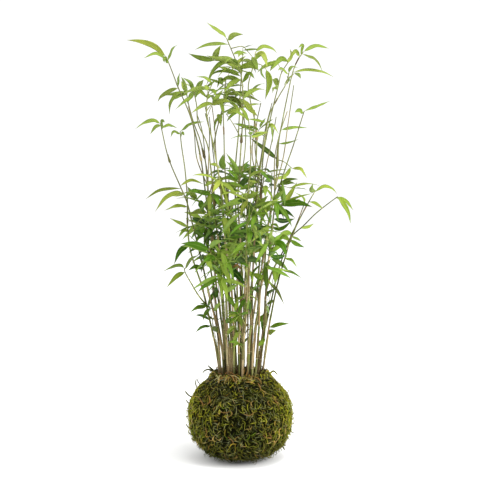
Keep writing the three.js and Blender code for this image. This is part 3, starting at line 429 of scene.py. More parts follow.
def seen_leaf(wide, side, flat, root, bend):
    """A leaf that is seen from the front: its depth makes up for the length that isn't seen."""
    points = pairs(flat)
    run = sum(math.dist(a, b) for a, b in zip(points, points[1:]))
    whole = max(LEAF_SHORT * LEAF_LENGTH, run)
    depth = side * bend * min(LEAF_DEPTH, math.sqrt(whole * whole - run * run) + 5)
    last = len(points) - 1
    line = [root] + [
        placed(x, z, root[1] + depth * i / last) for i, (x, z) in enumerate(points) if i]
    width = max(wide, LEAF_SLIM * LEAF_WIDTH)
    turn = math.acos(wide / width) * (-1 if points[-1][0] > points[0][0] else 1)
    return leaf_from(smooth(line, LEAF_STEPS), (0, 1, 0), turn, width)


def grown_leaf(root, compass, rise, droop, roll, size):
    """A leaf that grows by rule: it starts upwards and bends down towards its tip."""
    rib = [root]
    for i in range(LEAF_STEPS):
        angle = rise - droop * (i + 0.5) / LEAF_STEPS
        level = math.cos(angle)
        ahead = (level * math.cos(compass), level * math.sin(compass), math.sin(angle))
        rib.append(add(rib[i], scale(ahead, LEAF_LENGTH * size / LEAF_STEPS)))
    return leaf_from(rib, (0, 0, -1), roll, LEAF_WIDTH * (0.6 + 0.4 * size))


room = {}
NEIGHBOURS = list(itertools.product((-1, 0, 1), repeat=3))


def cell_of(p):
    return tuple(math.floor(v / CLEARANCE) for v in p)


def occupy(samples, owner):
    for p in samples:
        room.setdefault(cell_of(p), []).append((p, owner))


def is_free(samples, owner, root):
    """Whether the samples keep clear of other stems, and of their own beyond the root."""
    for p in samples:
        clear_of_root = root and math.dist(p, root) > ROOT_REACH
        x, y, z = cell_of(p)
        for i, j, k in NEIGHBOURS:
            for q, other in room.get((x + i, y + j, z + k), ()):
                if (clear_of_root or other != owner) and math.dist(p, q) < CLEARANCE:
                    return False
    return True


def line_samples(line):
    samples = []
    for a, b in zip(line, line[1:]):
        steps = math.ceil(math.dist(a, b) / SAMPLE_STEP)
        samples += [mix(a, b, k / steps) for k in range(steps + 1)]
    return samples


def leaf_samples(leaf):
    samples = []
    for k in range(2, 2 * LEAF_STEPS + 1):
        i = k // 2
        j = min(i + k % 2, LEAF_STEPS)
        centre = mix(leaf["rib"][i], leaf["rib"][j], 0.5)
        reach = (leaf["wide"][i] + leaf["wide"][j]) / 4
        samples += [add(centre, scale(leaf["side"][i], reach * n / 2)) for n in range(-2, 3)]
    return samples


def inside_thicket(p):
    x, z = seen(p)
    return any(((x - cx) / rx) ** 2 + ((z - cz) / rz) ** 2 < 1 for cx, cz, rx, rz in THICKETS)


def settle(plant, owner, choices, root, tone):
    """Adds the first choice of a leaf that is free, if any is."""
    for choose in choices:
        leaf = choose()
        samples = leaf_samples(leaf)
        if is_free(samples, owner, root):
            occupy(samples, owner)
            plant["leaves"].append(dict(leaf, tone=tone))
            return


def grow_stems():
    plants = []
    for stem in STEMS:
        line = cane_line(stem)
        cane = line_samples(line)
        twigs = [twig_line(twig, cane) for twig in stem.get("twigs", ())]
        spots = cane + [p for twig in twigs for p in line_samples(twig)]
        plants.append(dict(stem=stem, line=line, twigs=twigs, spots=spots, leaves=[]))
    for owner, plant in enumerate(plants):
        occupy(plant["spots"], owner)
    for owner, plant in enumerate(plants):
        for row in plant["stem"].get("leaves", ()):
            tone, row = (row[0], row[1:]) if isinstance(row[0], str) else (BY_RULE, row)
            wide, side, *flat = row
            roots = [leaf["rib"][0] for leaf in plant["leaves"]]
            spots = [p for p in plant["spots"]
                     if all(math.dist(root, p) > ROOT_SPACING for root in roots)]
            root = nearest(spots, *flat[:2])
            choices = [lambda bend=bend: seen_leaf(wide, side, flat, root, bend) for bend in BENDS]
            settle(plant, owner, choices, None, tone)
    for owner, plant in enumerate(plants):
        draw = draws(owner + SPRAY_SEED)
        samples = line_samples(plant["line"])
        above = SPRAY_LOW + draw(0, SPRAY_PITCH)
        compass = draw(0, 2 * math.pi)
        for i, root in enumerate(samples[:-SPRAY_LEAVES * SPRAY_STEP]):
            if root[2] < above or not inside_thicket(root):
                continue
            above = root[2] + SPRAY_PITCH * draw(*SPRAY_SPREAD)
            compass += GOLDEN_ANGLE
            for n in range(SPRAY_LEAVES):
                turn = compass + SPRAY_FAN * (n - 1) + draw(*SPRAY_TURN)
                rise, droop = draw(*SPRAY_RISE), draw(*SPRAY_DROOP)
                roll, size = draw(*SPRAY_ROLL), draw(*SPRAY_SIZE)
                start = samples[i + SPRAY_STEP * n]
                choices = [
                    lambda aside=aside: grown_leaf(start, turn + aside, rise, droop, roll, size)
                    for aside in SPRAY_ASIDES]
                kept = [choose for choose in choices
                        if all(inside_thicket(choose()["rib"][k]) for k in SPRAY_INSIDE)]
                settle(plant, owner, kept, start, BY_RULE)
    return plants


plants = grow_stems()

# ---- small sprays that fill the clump where it is thick: x, z, half width, half height, how many,
# how far back they belong (-1 in front, 1 behind), least and greatest size ----
FILLS = (
  (-30, 513, 24, 14, 3, 0, 0.6, 0.9), (22, 486, 8, 6, 2, 0, 0.5, 0.7),
  (20, 470, 6, 8, 1, 0, 0.4, 0.6), (-52, 549, 8, 6, 1, 0, 0.5, 0.8),
  (-24, 550, 10, 8, 2, 0, 0.6, 0.8), (50, 577, 8, 6, 1, 0, 0.5, 0.8),
  (79, 563, 8, 6, 1, 0, 0.5, 0.7), (-72, 535, 12, 5, 2, 0, 0.5, 0.7),
  (-30, 398, 18, 14, 5, -1, 0.6, 0.9), (4, 512, 8, 5, 1, 0, 0.5, 0.7),
  (21, 258, 10, 8, 1, 0, 0.5, 0.7), (36, 244, 8, 8, 1, 0, 0.5, 0.7), (2, 600, 8, 5, 1, 0, 0.4, 0.6),
  (56, 408, 6, 5, 1, 0, 0.5, 0.7), (-6, 562, 16, 10, 2, 0, 0.6, 0.9),
  (34, 412, 18, 12, 3, 0, 0.6, 0.9), (58, 398, 18, 8, 3, 0, 0.6, 0.9),
  (14, 392, 20, 10, 5, -1, 0.6, 0.9), (-56, 372, 8, 8, 1, 0, 0.6, 0.8),
  (-52, 350, 14, 12, 3, 0, 0.6, 0.9), (26, 345, 24, 14, 4, 0, 0.6, 0.9),
  (-50, 330, 12, 14, 2, 0, 0.6, 0.9), (-36, 314, 24, 12, 3, 0, 0.6, 0.9),
  (-12, 268, 20, 12, 3, -1, 0.6, 0.9), (32, 296, 18, 14, 3, 0, 0.6, 0.9),
  (-36, 276, 14, 12, 2, 0, 0.6, 0.8), (14, 270, 26, 12, 2, 0, 0.5, 0.8),
  (-16, 252, 20, 12, 2, 0, 0.5, 0.8), (28, 250, 18, 10, 1, 0, 0.5, 0.8),
  (-40, 226, 5, 5, 1, 0, 0.35, 0.45), (-34, 306, 26, 24, 5, -1, 0.6, 0.9),
  (12, 306, 32, 26, 6, -1, 0.6, 0.9), (38, 330, 18, 16, 2, -1, 0.6, 0.9),
  (-4, 366, 34, 20, 7, -1, 0.6, 0.9), (-42, 352, 16, 18, 3, -1, 0.6, 0.9),
  (38, 372, 22, 16, 4, -1, 0.6, 0.9), (-4, 205, 9, 24, 6, -1, 0.3, 0.5),
  (3, 236, 9, 14, 3, -1, 0.4, 0.6), (34, 214, 6, 10, 1, 0, 0.4, 0.5),
  (-40, 204, 5, 6, 1, 0, 0.3, 0.4), (12, 186, 8, 14, 2, 0, 0.3, 0.4),
  (-2, 168, 8, 10, 2, -1, 0.3, 0.4), (-10, 330, 50, 34, 26, 1, 0.7, 1.05),
)
FILL_LOW = 160
FILL_TWIG_STEPS = 6
FILL_TWIG_REACH = 40
FILL_TURNS = (0, 0.9, -0.9, 2.1)
FILL_BELOW = (8, 22)            # how far below its leaves a twig starts
FILL_CHANCE = 160               # how freely it may start elsewhere
FILL_CHANCE_BEHIND = 340        # and how much more so at the back
FILL_DEPTH = (6, 12)            # its depth beyond its root: by how far back it belongs, and spread
FILL_RISE = 0.8
FILL_FALL = (0.9, 0.3)          # how far down a leaf may start: low in the clump and at its top
FILL_DROOP = (0.1, 1.0)
FILL_ROLL = 0.6


def in_box(leaf):
    """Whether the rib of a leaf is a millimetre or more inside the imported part's box."""
    return all(low * MM_PER_M + 1 < v < high * MM_PER_M - 1
               for p in leaf["rib"] for v, low, high in zip(p, *CAD_BOX))


def fill_sprays(rng):
    """Short twigs with two to four small leaves, each on the cane that is seen nearest below it."""
    spots = [(p, plant) for plant in plants for p in line_samples(plant["line"])[::3]
             if p[2] > FILL_LOW]
    flat = np.array([seen(p) for p, _ in spots])
    depth = np.array([p[1] for p, _ in spots])
    for plant in plants:
        plant["fills"], plant["shoots"] = [], []
    for x, z, wide, high, count, back, least, most in FILLS:
        fall = FILL_FALL[z >= CROWN_LOW]
        behind = 14 if back < 0 else -5 * back
        freedom = FILL_CHANCE + FILL_CHANCE_BEHIND * (back > 0)
        for _ in range(count):
            angle, far = rng.uniform(0, 2 * math.pi), math.sqrt(rng.random())
            aim = (x + wide * far * math.cos(angle), z + high * far * math.sin(angle))
            below = rng.uniform(*FILL_BELOW)
            apart = (flat[:, 0] - aim[0]) ** 2 + (flat[:, 1] - aim[1] + below) ** 2
            chance = rng.uniform(0, freedom, len(spots))
            root, plant = spots[int((apart + behind * depth + chance).argmin())]
            end = placed(*aim, root[1] + rng.normal(FILL_DEPTH[0] * back, FILL_DEPTH[1]))
            reach = math.dist(root, end)
            if reach > FILL_TWIG_REACH:
                end = mix(root, end, FILL_TWIG_REACH / reach)
            compass = math.atan2(end[1] - root[1], end[0] - root[0])
            middle = add(mix(root, end, 0.5), (0, 0, rng.uniform(0, 3)))
            twig = smooth([root, middle, end], FILL_TWIG_STEPS)
            plant["shoots"].append(twig)
            for n in range(rng.integers(2, 5)):
                turn = compass + FILL_TURNS[n] + rng.normal(0, 0.3)
                leaf = grown_leaf(
                    twig[FILL_TWIG_STEPS - n], turn, rng.uniform(-fall, FILL_RISE),
                    rng.uniform(*FILL_DROOP), rng.normal(0, FILL_ROLL), rng.uniform(least, most))
                if in_box(leaf):
                    # a leaf behind the clump gets the dark letter: painted shade between the leaves
                    # in front
                    plant["fills"].append(dict(leaf, tone=SHADED_BACK_LEAF if back > 0 else BY_RULE))


# ---- mesh tools: a piece is made of grids of rings, each closed round and capped at its ends ----
ATLAS_PAD = 0.06                # of a cell, left free round each item's map
SIDE_MAP = (0.05, 0.9)          # the part of a cell's height that the sides of an item take up
CAP_MAP = (0.5, 0.02)           # the middle of the first cap in a cell
CAP_MAP_SIZE = (0.2, 0.015)
CAPS_APART = 0.96
START_SIDE = (0.3, 1, 0.1)      # the side of a line that its rings start on
FLOOR_GAP = 0.02
LOOPED = True


def full_turn(count):
    return 2 * np.pi * np.arange(count) / count


def curve_at(points, t):
    """Points (N, P, C) read at t along them, 0 to P - 1, on a smooth curve."""
    i = np.clip(np.floor(t).astype(int), 0, points.shape[1] - 2)
    f = (t - i)[:, None]
    first = 2 * points[:, :1] - points[:, 1:2]
    last = 2 * points[:, -1:] - points[:, -2:-1]
    whole = np.concatenate([first, points, last], axis=1)
    p0, p1, p2, p3 = (whole[:, i + k] for k in range(4))
    return 0.5 * (2 * p1 + (p2 - p0) * f + (2 * p0 - 5 * p1 + 4 * p2 - p3) * f ** 2
                  + (3 * p1 - p0 - 3 * p2 + p3) * f ** 3)


def normed(v):
    return v / np.maximum(np.linalg.norm(v, axis=-1, keepdims=True), 1e-12)


def squared_to(v, way):
    """The unit vectors nearest to v that are square to the unit vectors of way."""
    return normed(v - (v * way).sum(-1, keepdims=True) * way)


def carried_frames(lines):
    """Tangent, across and third direction along each line, carried along it without twist."""
    tangent = normed(np.gradient(lines, axis=1))
    across = np.empty_like(lines)
    side = np.broadcast_to(START_SIDE, lines[:, 0].shape)
    for s in range(lines.shape[1]):
        side = across[:, s] = squared_to(side, tangent[:, s])
    return tangent, across, np.cross(tangent, across)


def swept(lines, radii, sides, flat=1):
    """Rings (N, S, K, 3) round each line, with a radius for each point and that flatness."""
    _, across, third = carried_frames(lines)
    angle = full_turn(sides)[:, None]
    ring = across[:, :, None] * np.cos(angle) + third[:, :, None] * np.sin(angle) * flat
    return lines[:, :, None] + ring * radii[..., None, None]


def kept_up(points, least=FLOOR_GAP):
    """The points, with none lower than that."""
    points[..., 2] = np.maximum(points[..., 2], least)
    return points


def read_at(rings, *values):
    """The three values that a material reads at each point of the rings."""
    return np.stack([np.broadcast_to(v, rings.shape[:3]) for v in values], -1)


def closed_grid(s, k, looped):
    """Faces of s rings of k points, each group with its places on the item's map."""
    index = np.arange(s * k).reshape(s, k)
    below = index if looped else index[:-1]
    above = np.roll(index, -1, axis=0) if looped else index[1:]
    quads = np.stack([below, np.roll(below, -1, 1), np.roll(above, -1, 1), above], -1)
    row, column = np.divmod(np.arange(below.size), k)
    u = np.stack([column, column + 1, column + 1, column], -1) / k
    v = np.stack([row, row, row + 1, row + 1], -1) / len(below) * SIDE_MAP[1] + SIDE_MAP[0]
    groups = [(quads.reshape(-1, 4), np.stack([u, v], -1))]
    if not looped:
        turn = full_turn(k)
        disc = CAP_MAP + np.stack([np.cos(turn), np.sin(turn)], -1)[None] * CAP_MAP_SIZE
        groups += [(index[:1, ::-1], disc), (index[-1:], disc + (0, CAPS_APART))]
    return groups


def add_object(name, data):
    made = bpy.data.objects.new(name, data)
    bpy.context.scene.collection.objects.link(made)
    return made


def make_piece(name, material, grids, nodes=(), aspect=1):
    """A mesh of many items, each with its map in a cell of its own, on the part's one body.

    A grid is its rings (N, S, K, 3), what the material reads at their points (way, N, S, K, 3) and
    of each item (tone, N, 3), and LOOPED where the last ring of an item joins its first.
    """
    points, faces, maps, ways, tones = [], [], [], [], []
    count = items = 0
    for rings, way, tone, *looped in grids:
        n, s, k, _ = rings.shape
        offset = count + np.arange(n)[:, None, None] * s * k
        for corners, places in closed_grid(s, k, bool(looped)):
            faces.append((corners + offset).reshape(-1, corners.shape[1]))
            maps.append((np.repeat(items + np.arange(n), len(corners)), np.tile(places, (n, 1, 1))))
        points.append(rings.reshape(-1, 3))
        ways.append(np.broadcast_to(way, rings.shape).reshape(-1, 3))
        tones.append(np.repeat(tone, s * k, axis=0))
        count += n * s * k
        items += n
    columns = max(1, math.ceil(math.sqrt(items * aspect)))
    rows = math.ceil(items / columns)
    uvs = []
    for cell, places in maps:
        corner = np.stack([cell % columns, cell // columns], -1)[:, None]
        inner = ATLAS_PAD + (1 - 2 * ATLAS_PAD) * places
        uvs.append(((corner + inner) / (columns, rows)).ravel())
    sizes = np.concatenate([np.full(len(f), f.shape[1]) for f in faces])
    loops = np.concatenate([f.ravel() for f in faces])
    mesh = bpy.data.meshes.new(name)
    mesh.vertices.add(count)
    mesh.vertices.foreach_set("co", (np.concatenate(points) / MM_PER_M).ravel())
    mesh.loops.add(len(loops))
    mesh.loops.foreach_set("vertex_index", loops.astype(np.int32))
    mesh.polygons.add(len(sizes))
    mesh.polygons.foreach_set("loop_start", (np.cumsum(sizes) - sizes).astype(np.int32))
    mesh.polygons.foreach_set("use_smooth", np.full(len(sizes), True))
    mesh.update(calc_edges=True)
    mesh.uv_layers.new(name="OFBake").data.foreach_set("uv", np.concatenate(uvs))
    for word, values in (("way", ways), ("tone", tones)):
        layer = mesh.attributes.new(word, "FLOAT_VECTOR", "POINT")
        layer.data.foreach_set("vector", np.concatenate(values).ravel())
    mesh.materials.append(material)
    piece = add_object(name, mesh)
    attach(piece, "root")
    if nodes:
        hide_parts(*nodes)


# ---- materials ----
class Look:
    """A material made of nodes, with short ways to add them."""

    def __init__(self, name):
        self.material = bpy.data.materials.new(name)
        self.material.use_nodes = True
        self.tree = self.material.node_tree
        self.shader = self.tree.nodes["Principled BSDF"]

    def node(self, kind, inputs=(), **settings):
        made = self.tree.nodes.new("ShaderNode" + kind)
        for key, value in settings.items():
            setattr(made, key, value)
        for key, value in dict(inputs).items():
            self.put(made.inputs[key], value)
        return made

    def put(self, socket, value):
        if isinstance(value, bpy.types.NodeSocket):
            self.tree.links.new(value, socket)
        elif socket.type == "RGBA":
            socket.default_value = (*value, 1)
        else:
            socket.default_value = value

    def math(self, operation, a, b=0.0):
        return self.node("Math", {0: a, 1: b}, operation=operation).outputs[0]

    def plus(self, a, b):
        return self.math("ADD", a, b)

    def times(self, a, b):
        return self.math("MULTIPLY", a, b)

    def varied(self, value, grain, share):
        """The value, higher and lower by that share of a noise."""
        return self.plus(value, self.times(self.math("SUBTRACT", grain, 0.5), share))

    def parts(self, attribute):
        read = self.node("Attribute", attribute_name=attribute)
        return self.node("SeparateXYZ", {0: read.outputs["Vector"]}).outputs

    def blend(self, amount, a, b, how="MIX"):
        made = self.node("Mix", data_type="RGBA", blend_type=how, clamp_factor=True)
        for place, value in ((0, amount), (6, a), (7, b)):
            self.put(made.inputs[place], value)
        return made.outputs[2]

    def tinted(self, colour, *layers):
        """The colour with others over it: where, with what share, which colour, and how."""
        for where, share, other, *how in layers:
            colour = self.blend(self.times(where, share), colour, other, *how)
        return colour

    def ramp(self, value, *stops):
        made = self.node("ValToRGB", {0: value})
        entries = made.color_ramp.elements
        while len(entries) < len(stops):
            entries.new(0.5)
        for entry, (place, colour) in zip(entries, stops):
            entry.position = place
            entry.color = (*colour, 1)
        return made.outputs[0]

    def between(self, value, low, high, to_low=0.0, to_high=1.0, smooth=False):
        made = self.node("MapRange", {0: value, 1: low, 2: high, 3: to_low, 4: to_high},
                         interpolation_type="SMOOTHSTEP" if smooth else "LINEAR")
        return made.outputs[0]

    def rising(self, value, low, high):
        return self.between(value, low, high, 0.0, 1.0, smooth=True)

    def falling(self, value, low, high):
        return self.between(value, low, high, 1.0, 0.0, smooth=True)

    def noise(self, vector, size, detail=2.0, stretch=(1, 1, 1), roughness=0.5):
        """Noise with features of about that size in metres, or in the vector's own unit."""
        spread = self.node("Mapping", {"Vector": vector, "Scale": stretch}).outputs[0]
        made = self.node("TexNoise", {"Vector": spread, "Scale": 1 / size, "Detail": detail,
                                      "Roughness": roughness})
        return made.outputs["Fac"]

    def fibres(self, across, along, seed, fine, apart, size, detail=2.0):
        """Noise drawn out along an item, and different on each."""
        place = self.node("CombineXYZ", {0: self.times(across, fine), 1: along,
                                         2: self.times(seed, apart)})
        return self.noise(place.outputs[0], size, detail)

    def bump(self, height, distance):
        made = self.node("Bump", {"Strength": 1.0, "Distance": distance, "Height": height})
        self.put(self.shader.inputs["Normal"], made.outputs[0])

    def finish(self, colour, roughness, gloss=0.5):
        for key, value in (("Base Color", colour), ("Roughness", roughness),
                           ("Specular IOR Level", gloss)):
            self.put(self.shader.inputs[key], value)
        return self.material

    def let_through(self, colour, share):
        """Mixes in the light that comes through a thin piece."""
        glow = self.node("BsdfTranslucent", {"Color": colour})
        if self.shader.inputs["Normal"].is_linked:
            self.put(glow.inputs["Normal"], self.shader.inputs["Normal"].links[0].from_socket)
        both = self.node("MixShader", {0: share, 1: self.shader.outputs[0], 2: glow.outputs[0]})
        self.put(self.tree.nodes["Material Output"].inputs[0], both.outputs[0])

    @property
    def place(self):
        return self.node("TexCoord").outputs["Object"]

    @property
    def height(self):
        return self.node("SeparateXYZ", {0: self.place}).outputs[2]


def leaf_look():
    look = Look("bamboo_leaf")
    across, along, top = look.parts("way")
    light, hue, seed = look.parts("tone")
    height = look.height
    grain = look.noise(look.place, 0.012)
    streak = look.fibres(across, along, seed, 9.0, 57.0, 0.6)
    value = look.varied(look.varied(light, grain, 0.40), streak, 0.10)
    colour = look.ramp(value, (0.0, (0.007, 0.030, 0.003)), (0.3, (0.030, 0.104, 0.006)),
                       (0.6, (0.114, 0.250, 0.011)), (1.0, (0.360, 0.450, 0.070)))
    young = look.rising(height, 0.40, 0.53)
    # painted shade: leaves are darker in the middle heights, where the clump is thick
    deep = look.times(look.rising(height, 0.37, 0.32), look.rising(height, 0.22, 0.27))
    rib = look.falling(look.math("ABSOLUTE", across), 0.03, 0.11)
    foot, tip = look.falling(along, 0.02, 0.14), look.rising(along, 0.80, 1.0)
    under = look.math("SUBTRACT", 1.0, top)
    colour = look.tinted(
        colour, (hue, 0.8, (0.46, 0.43, 0.060)), (young, 0.36, (0.33, 0.34, 0.070)),
        (deep, 0.6, (0.76, 0.94, 0.70), "MULTIPLY"), (rib, 0.45, (0.36, 0.47, 0.10)),
        (foot, 0.5, (0.28, 0.36, 0.08)), (tip, 0.7, (0.23, 0.23, 0.12)),
        (under, 0.35, (0.20, 0.30, 0.10)))
    veins = look.math("SINE", look.times(across, 46.0))
    look.bump(look.plus(look.times(veins, 0.5), look.times(rib, 3.0)), 0.00002)
    look.let_through(look.blend(0.35, colour, (0.40, 0.50, 0.03)), 0.36)
    return look.finish(colour, look.between(grain, 0.3, 0.7, 0.42, 0.60), 0.15)


def dry_leaf_look():
    look = Look("dry_leaf")
    across, along, _ = look.parts("way")
    light, _, seed = look.parts("tone")
    fibre = look.fibres(across, along, seed, 14.0, 91.0, 0.5, 3.0)
    colour = look.ramp(look.varied(light, fibre, 0.6), (0.0, (0.050, 0.024, 0.007)),
                       (0.45, (0.26, 0.135, 0.028)), (1.0, (0.52, 0.37, 0.13)))
    look.bump(fibre, 0.0001)
    look.let_through(colour, 0.2)
    return look.finish(colour, 0.7, 0.3)


def cane_look():
    """way is how dry, the distance to the nearest node and the height; tone has the lightness."""
    look = Look("bamboo_cane")
    dry, node, height = look.parts("way")
    _, light, _ = look.parts("tone")
    streak = look.noise(look.place, 0.0022, 3.0, stretch=(1, 1, 0.05))
    patch = look.noise(look.place, 0.022, 2.0, stretch=(1, 1, 0.5))
    cloud = look.noise(look.place, 0.014, 2.0, stretch=(1, 1, 0.25))
    value = look.varied(look.varied(light, streak, 1.7), cloud, 1.2)
    green = look.ramp(value, (0.0, (0.014, 0.018, 0.003)), (0.35, (0.074, 0.088, 0.014)),
                      (0.7, (0.192, 0.222, 0.048)), (1.0, (0.440, 0.436, 0.165)))
    tan = look.ramp(value, (0.0, (0.062, 0.038, 0.012)), (0.5, (0.285, 0.204, 0.090)),
                    (1.0, (0.500, 0.400, 0.240)))
    worn = look.plus(look.varied(dry, patch, 0.9), look.between(height, 130.0, 185.0, 0.3, 0.0))
    ring = look.falling(node, 0.0, 1.6)
    line = look.falling(look.math("ABSOLUTE", look.math("SUBTRACT", node, 1.5)), 0.0, 0.5)
    high, low = look.rising(height, 330.0, 430.0), look.falling(height, 125.0, 160.0)
    colour = look.tinted(
        look.blend(look.rising(worn, 0.42, 0.62), green, tan), (ring, 0.6, (0.42, 0.38, 0.22)),
        (line, 0.75, (0.045, 0.028, 0.016)), (high, 0.45, (0.210, 0.215, 0.095)),
        (low, 0.62, (0.040, 0.024, 0.012)))
    look.bump(streak, 0.00012)
    return look.finish(colour, look.between(streak, 0.3, 0.7, 0.42, 0.62), 0.1)


def sheath_look():
    look = Look("papery_sheath")
    around, rise, _ = look.parts("way")
    light, hue, seed = look.parts("tone")
    fibre = look.fibres(around, rise, seed, 11.0, 77.0, 0.35, 3.0)
    colour = look.ramp(look.varied(light, fibre, 0.7), (0.0, (0.075, 0.044, 0.016)),
                       (0.45, (0.290, 0.210, 0.090)), (1.0, (0.640, 0.540, 0.320)))
    rim = look.falling(rise, 0.0, 0.1)
    colour = look.tinted(colour, (hue, 0.8, (0.150, 0.175, 0.040)), (rim, 0.6, (0.10, 0.055, 0.03)))
    look.bump(fibre, 0.00015)
    look.let_through(colour, 0.15)
    return look.finish(colour, 0.68, 0.3)


def moss_look():
    """way has how far along and how high; tone is the place on the ramp, a lightness with painted
    light and shade in it, and a seed.
    """
    look = Look("moss_strand")
    _, along, lift = look.parts("way")
    kind, light, seed = look.parts("tone")
    grain = look.noise(look.place, 0.0016, 3.0)
    colour = look.ramp(kind, (0.0, (0.016, 0.023, 0.003)), (0.25, (0.041, 0.047, 0.005)),
                       (0.45, (0.086, 0.086, 0.013)), (0.62, (0.158, 0.154, 0.011)),
                       (0.76, (0.236, 0.232, 0.018)), (0.88, (0.195, 0.116, 0.022)),
                       (1.0, (0.330, 0.230, 0.080)))
    # pale strands where the seed is high, partly real pale moss and partly painted sheen; fresh
    # green ones where it is low
    pale, fresh = look.between(seed, 0.50, 1.0), look.between(seed, 0.1, -0.5)
    colour = look.tinted(colour, (pale, 0.66, (0.160, 0.168, 0.100)),
                         (fresh, 0.60, (0.072, 0.120, 0.008)))
    # the lightness, which carries painted light and shade, multiplies the colour
    shade = look.plus(look.plus(light, look.times(grain, 0.4)), look.times(along, 0.3))
    shade = look.between(shade, 0.15, 1.7, 0.2, 3.2)
    lightness_with_painted_light = look.node("CombineXYZ", {0: shade, 1: shade, 2: shade}).outputs[0]
    # painted shade: strands that lie low in the moss go near black
    sunk_shade = look.falling(lift, -1.2, 1.7)
    colour = look.tinted(look.blend(1.0, colour, lightness_with_painted_light, "MULTIPLY"),
                         (sunk_shade, 0.92, (0.004, 0.0036, 0.0006)))
    # painted shade: the moss is darker towards the floor
    colour = look.blend(look.between(look.height, 0.0, 0.045, 0.55, 0.0), colour, (0, 0, 0))
    look.bump(grain, 0.0003)
    look.let_through(colour, 0.12)
    return look.finish(colour, 0.6, 0.03)


# the bed under the strands is near black: painted shade in the gaps of the moss
SHADED_BED_COLOURS = ((0.002, 0.002, 0.001), (0.007, 0.008, 0.002), (0.025, 0.026, 0.006))
BED_GRAIN = 0.006
# the soil's dark colours are partly painted shade among the canes
SOIL_AND_SHADE_COLOURS = ((0.004, 0.003, 0.002), (0.014, 0.009, 0.005), (0.055, 0.034, 0.018))
SOIL_GRAIN = 0.005


def bed_look(name, dark, middle, pale, size):
    look = Look(name)
    coarse = look.noise(look.place, size, 4.0, roughness=0.65)
    fine = look.noise(look.place, size / 5, 3.0, roughness=0.7)
    value = look.plus(look.times(coarse, 0.6), look.times(fine, 0.4))
    look.bump(value, size / 3)
    return look.finish(look.ramp(value, (0.32, dark), (0.5, middle), (0.68, pale)),
                       look.between(fine, 0.3, 0.7, 0.8, 0.98), 0.06)


# ---- leaves: across a blade there are 7 points on its top, edge to edge, and 5 below ----
LEAF_STATIONS = 18
LEAF_ACROSS = np.concatenate([np.linspace(1, -1, 7), np.linspace(-2 / 3, 2 / 3, 5)])
LEAF_TOP = np.concatenate([np.ones(7), np.zeros(5)])
STALK_HALF = 0.42
STALK_THICK = 0.62
TIP_HALF = 0.10
BLADE_THICK = 0.20
RIB_THICK = 0.26
LEAF_GREEN = 0.52               # the lightness of a leaf by rule, and what else it depends on
PAINTED_LIGHT_UP = (330, 90, 0.12)    # painted light above this height, over this far, by this much
# painted light towards the outside, over this far, by this much
PAINTED_LIGHT_OUT = (120, 0.04)
LEAF_SPREAD = (0.20, 0.14)      # low in the clump and at its top
# painted shade behind in the thick middle, over this far, by this much
PAINTED_SHADE_BEHIND = (45, 0.34)
CLOUD_SIZE = 24
CLOUDS = (0.15, 0.40)           # outside and inside the thick middle
OLIVE_OUT = (60, 26, 0.34)
# d and k are dark leaves where shade falls in the clump: painted shade
LEAF_TONES = dict(l=(0.88, 0.10), y=(0.80, 0.45), b=(0.68, 0.0), m=(0.48, 0.0), d=(0.20, 0.0),
                  k=(0.26, 0.0), o=(0.30, 0.5), r=(0.3, 0.0))


def share_of(v, start, run):
    """How far v has come from start, as a share of the run, from 0 to 1."""
    return np.clip((v - start) / run, 0, 1)


def leaf_tone(leaf, rng):
    """Lightness and yellowness: by letter, or by rule, with painted light towards the top and the
    outside and painted shade behind in the thick middle.
    """
    if leaf["tone"] != BY_RULE:
        light, hue = LEAF_TONES[leaf["tone"]]
        return light + rng.normal(0, 0.05), hue, rng.random()
    x, y, z = leaf["rib"][LEAF_STEPS // 2]
    out, inner = abs(x), abs(x) < THICK_HALF
    light = (LEAF_GREEN + PAINTED_LIGHT_UP[2] * share_of(z, *PAINTED_LIGHT_UP[:2])
             + PAINTED_LIGHT_OUT[1] * share_of(out, 0, PAINTED_LIGHT_OUT[0]))
    light += rng.normal(0, LEAF_SPREAD[z >= CROWN_LOW])
    olive = 0
    if z < CROWN_LOW:
        light -= PAINTED_SHADE_BEHIND[1] * np.clip(y / PAINTED_SHADE_BEHIND[0], -0.6, 1) * inner
        light += CLOUDS[inner] * smooth_noise([v / CLOUD_SIZE for v in (x, y, z)])
        olive = OLIVE_OUT[2] * share_of(out, *OLIVE_OUT[:2])
    return light + 0.1 * olive, max(0, rng.normal(0.0, 0.12)) + olive, rng.random()


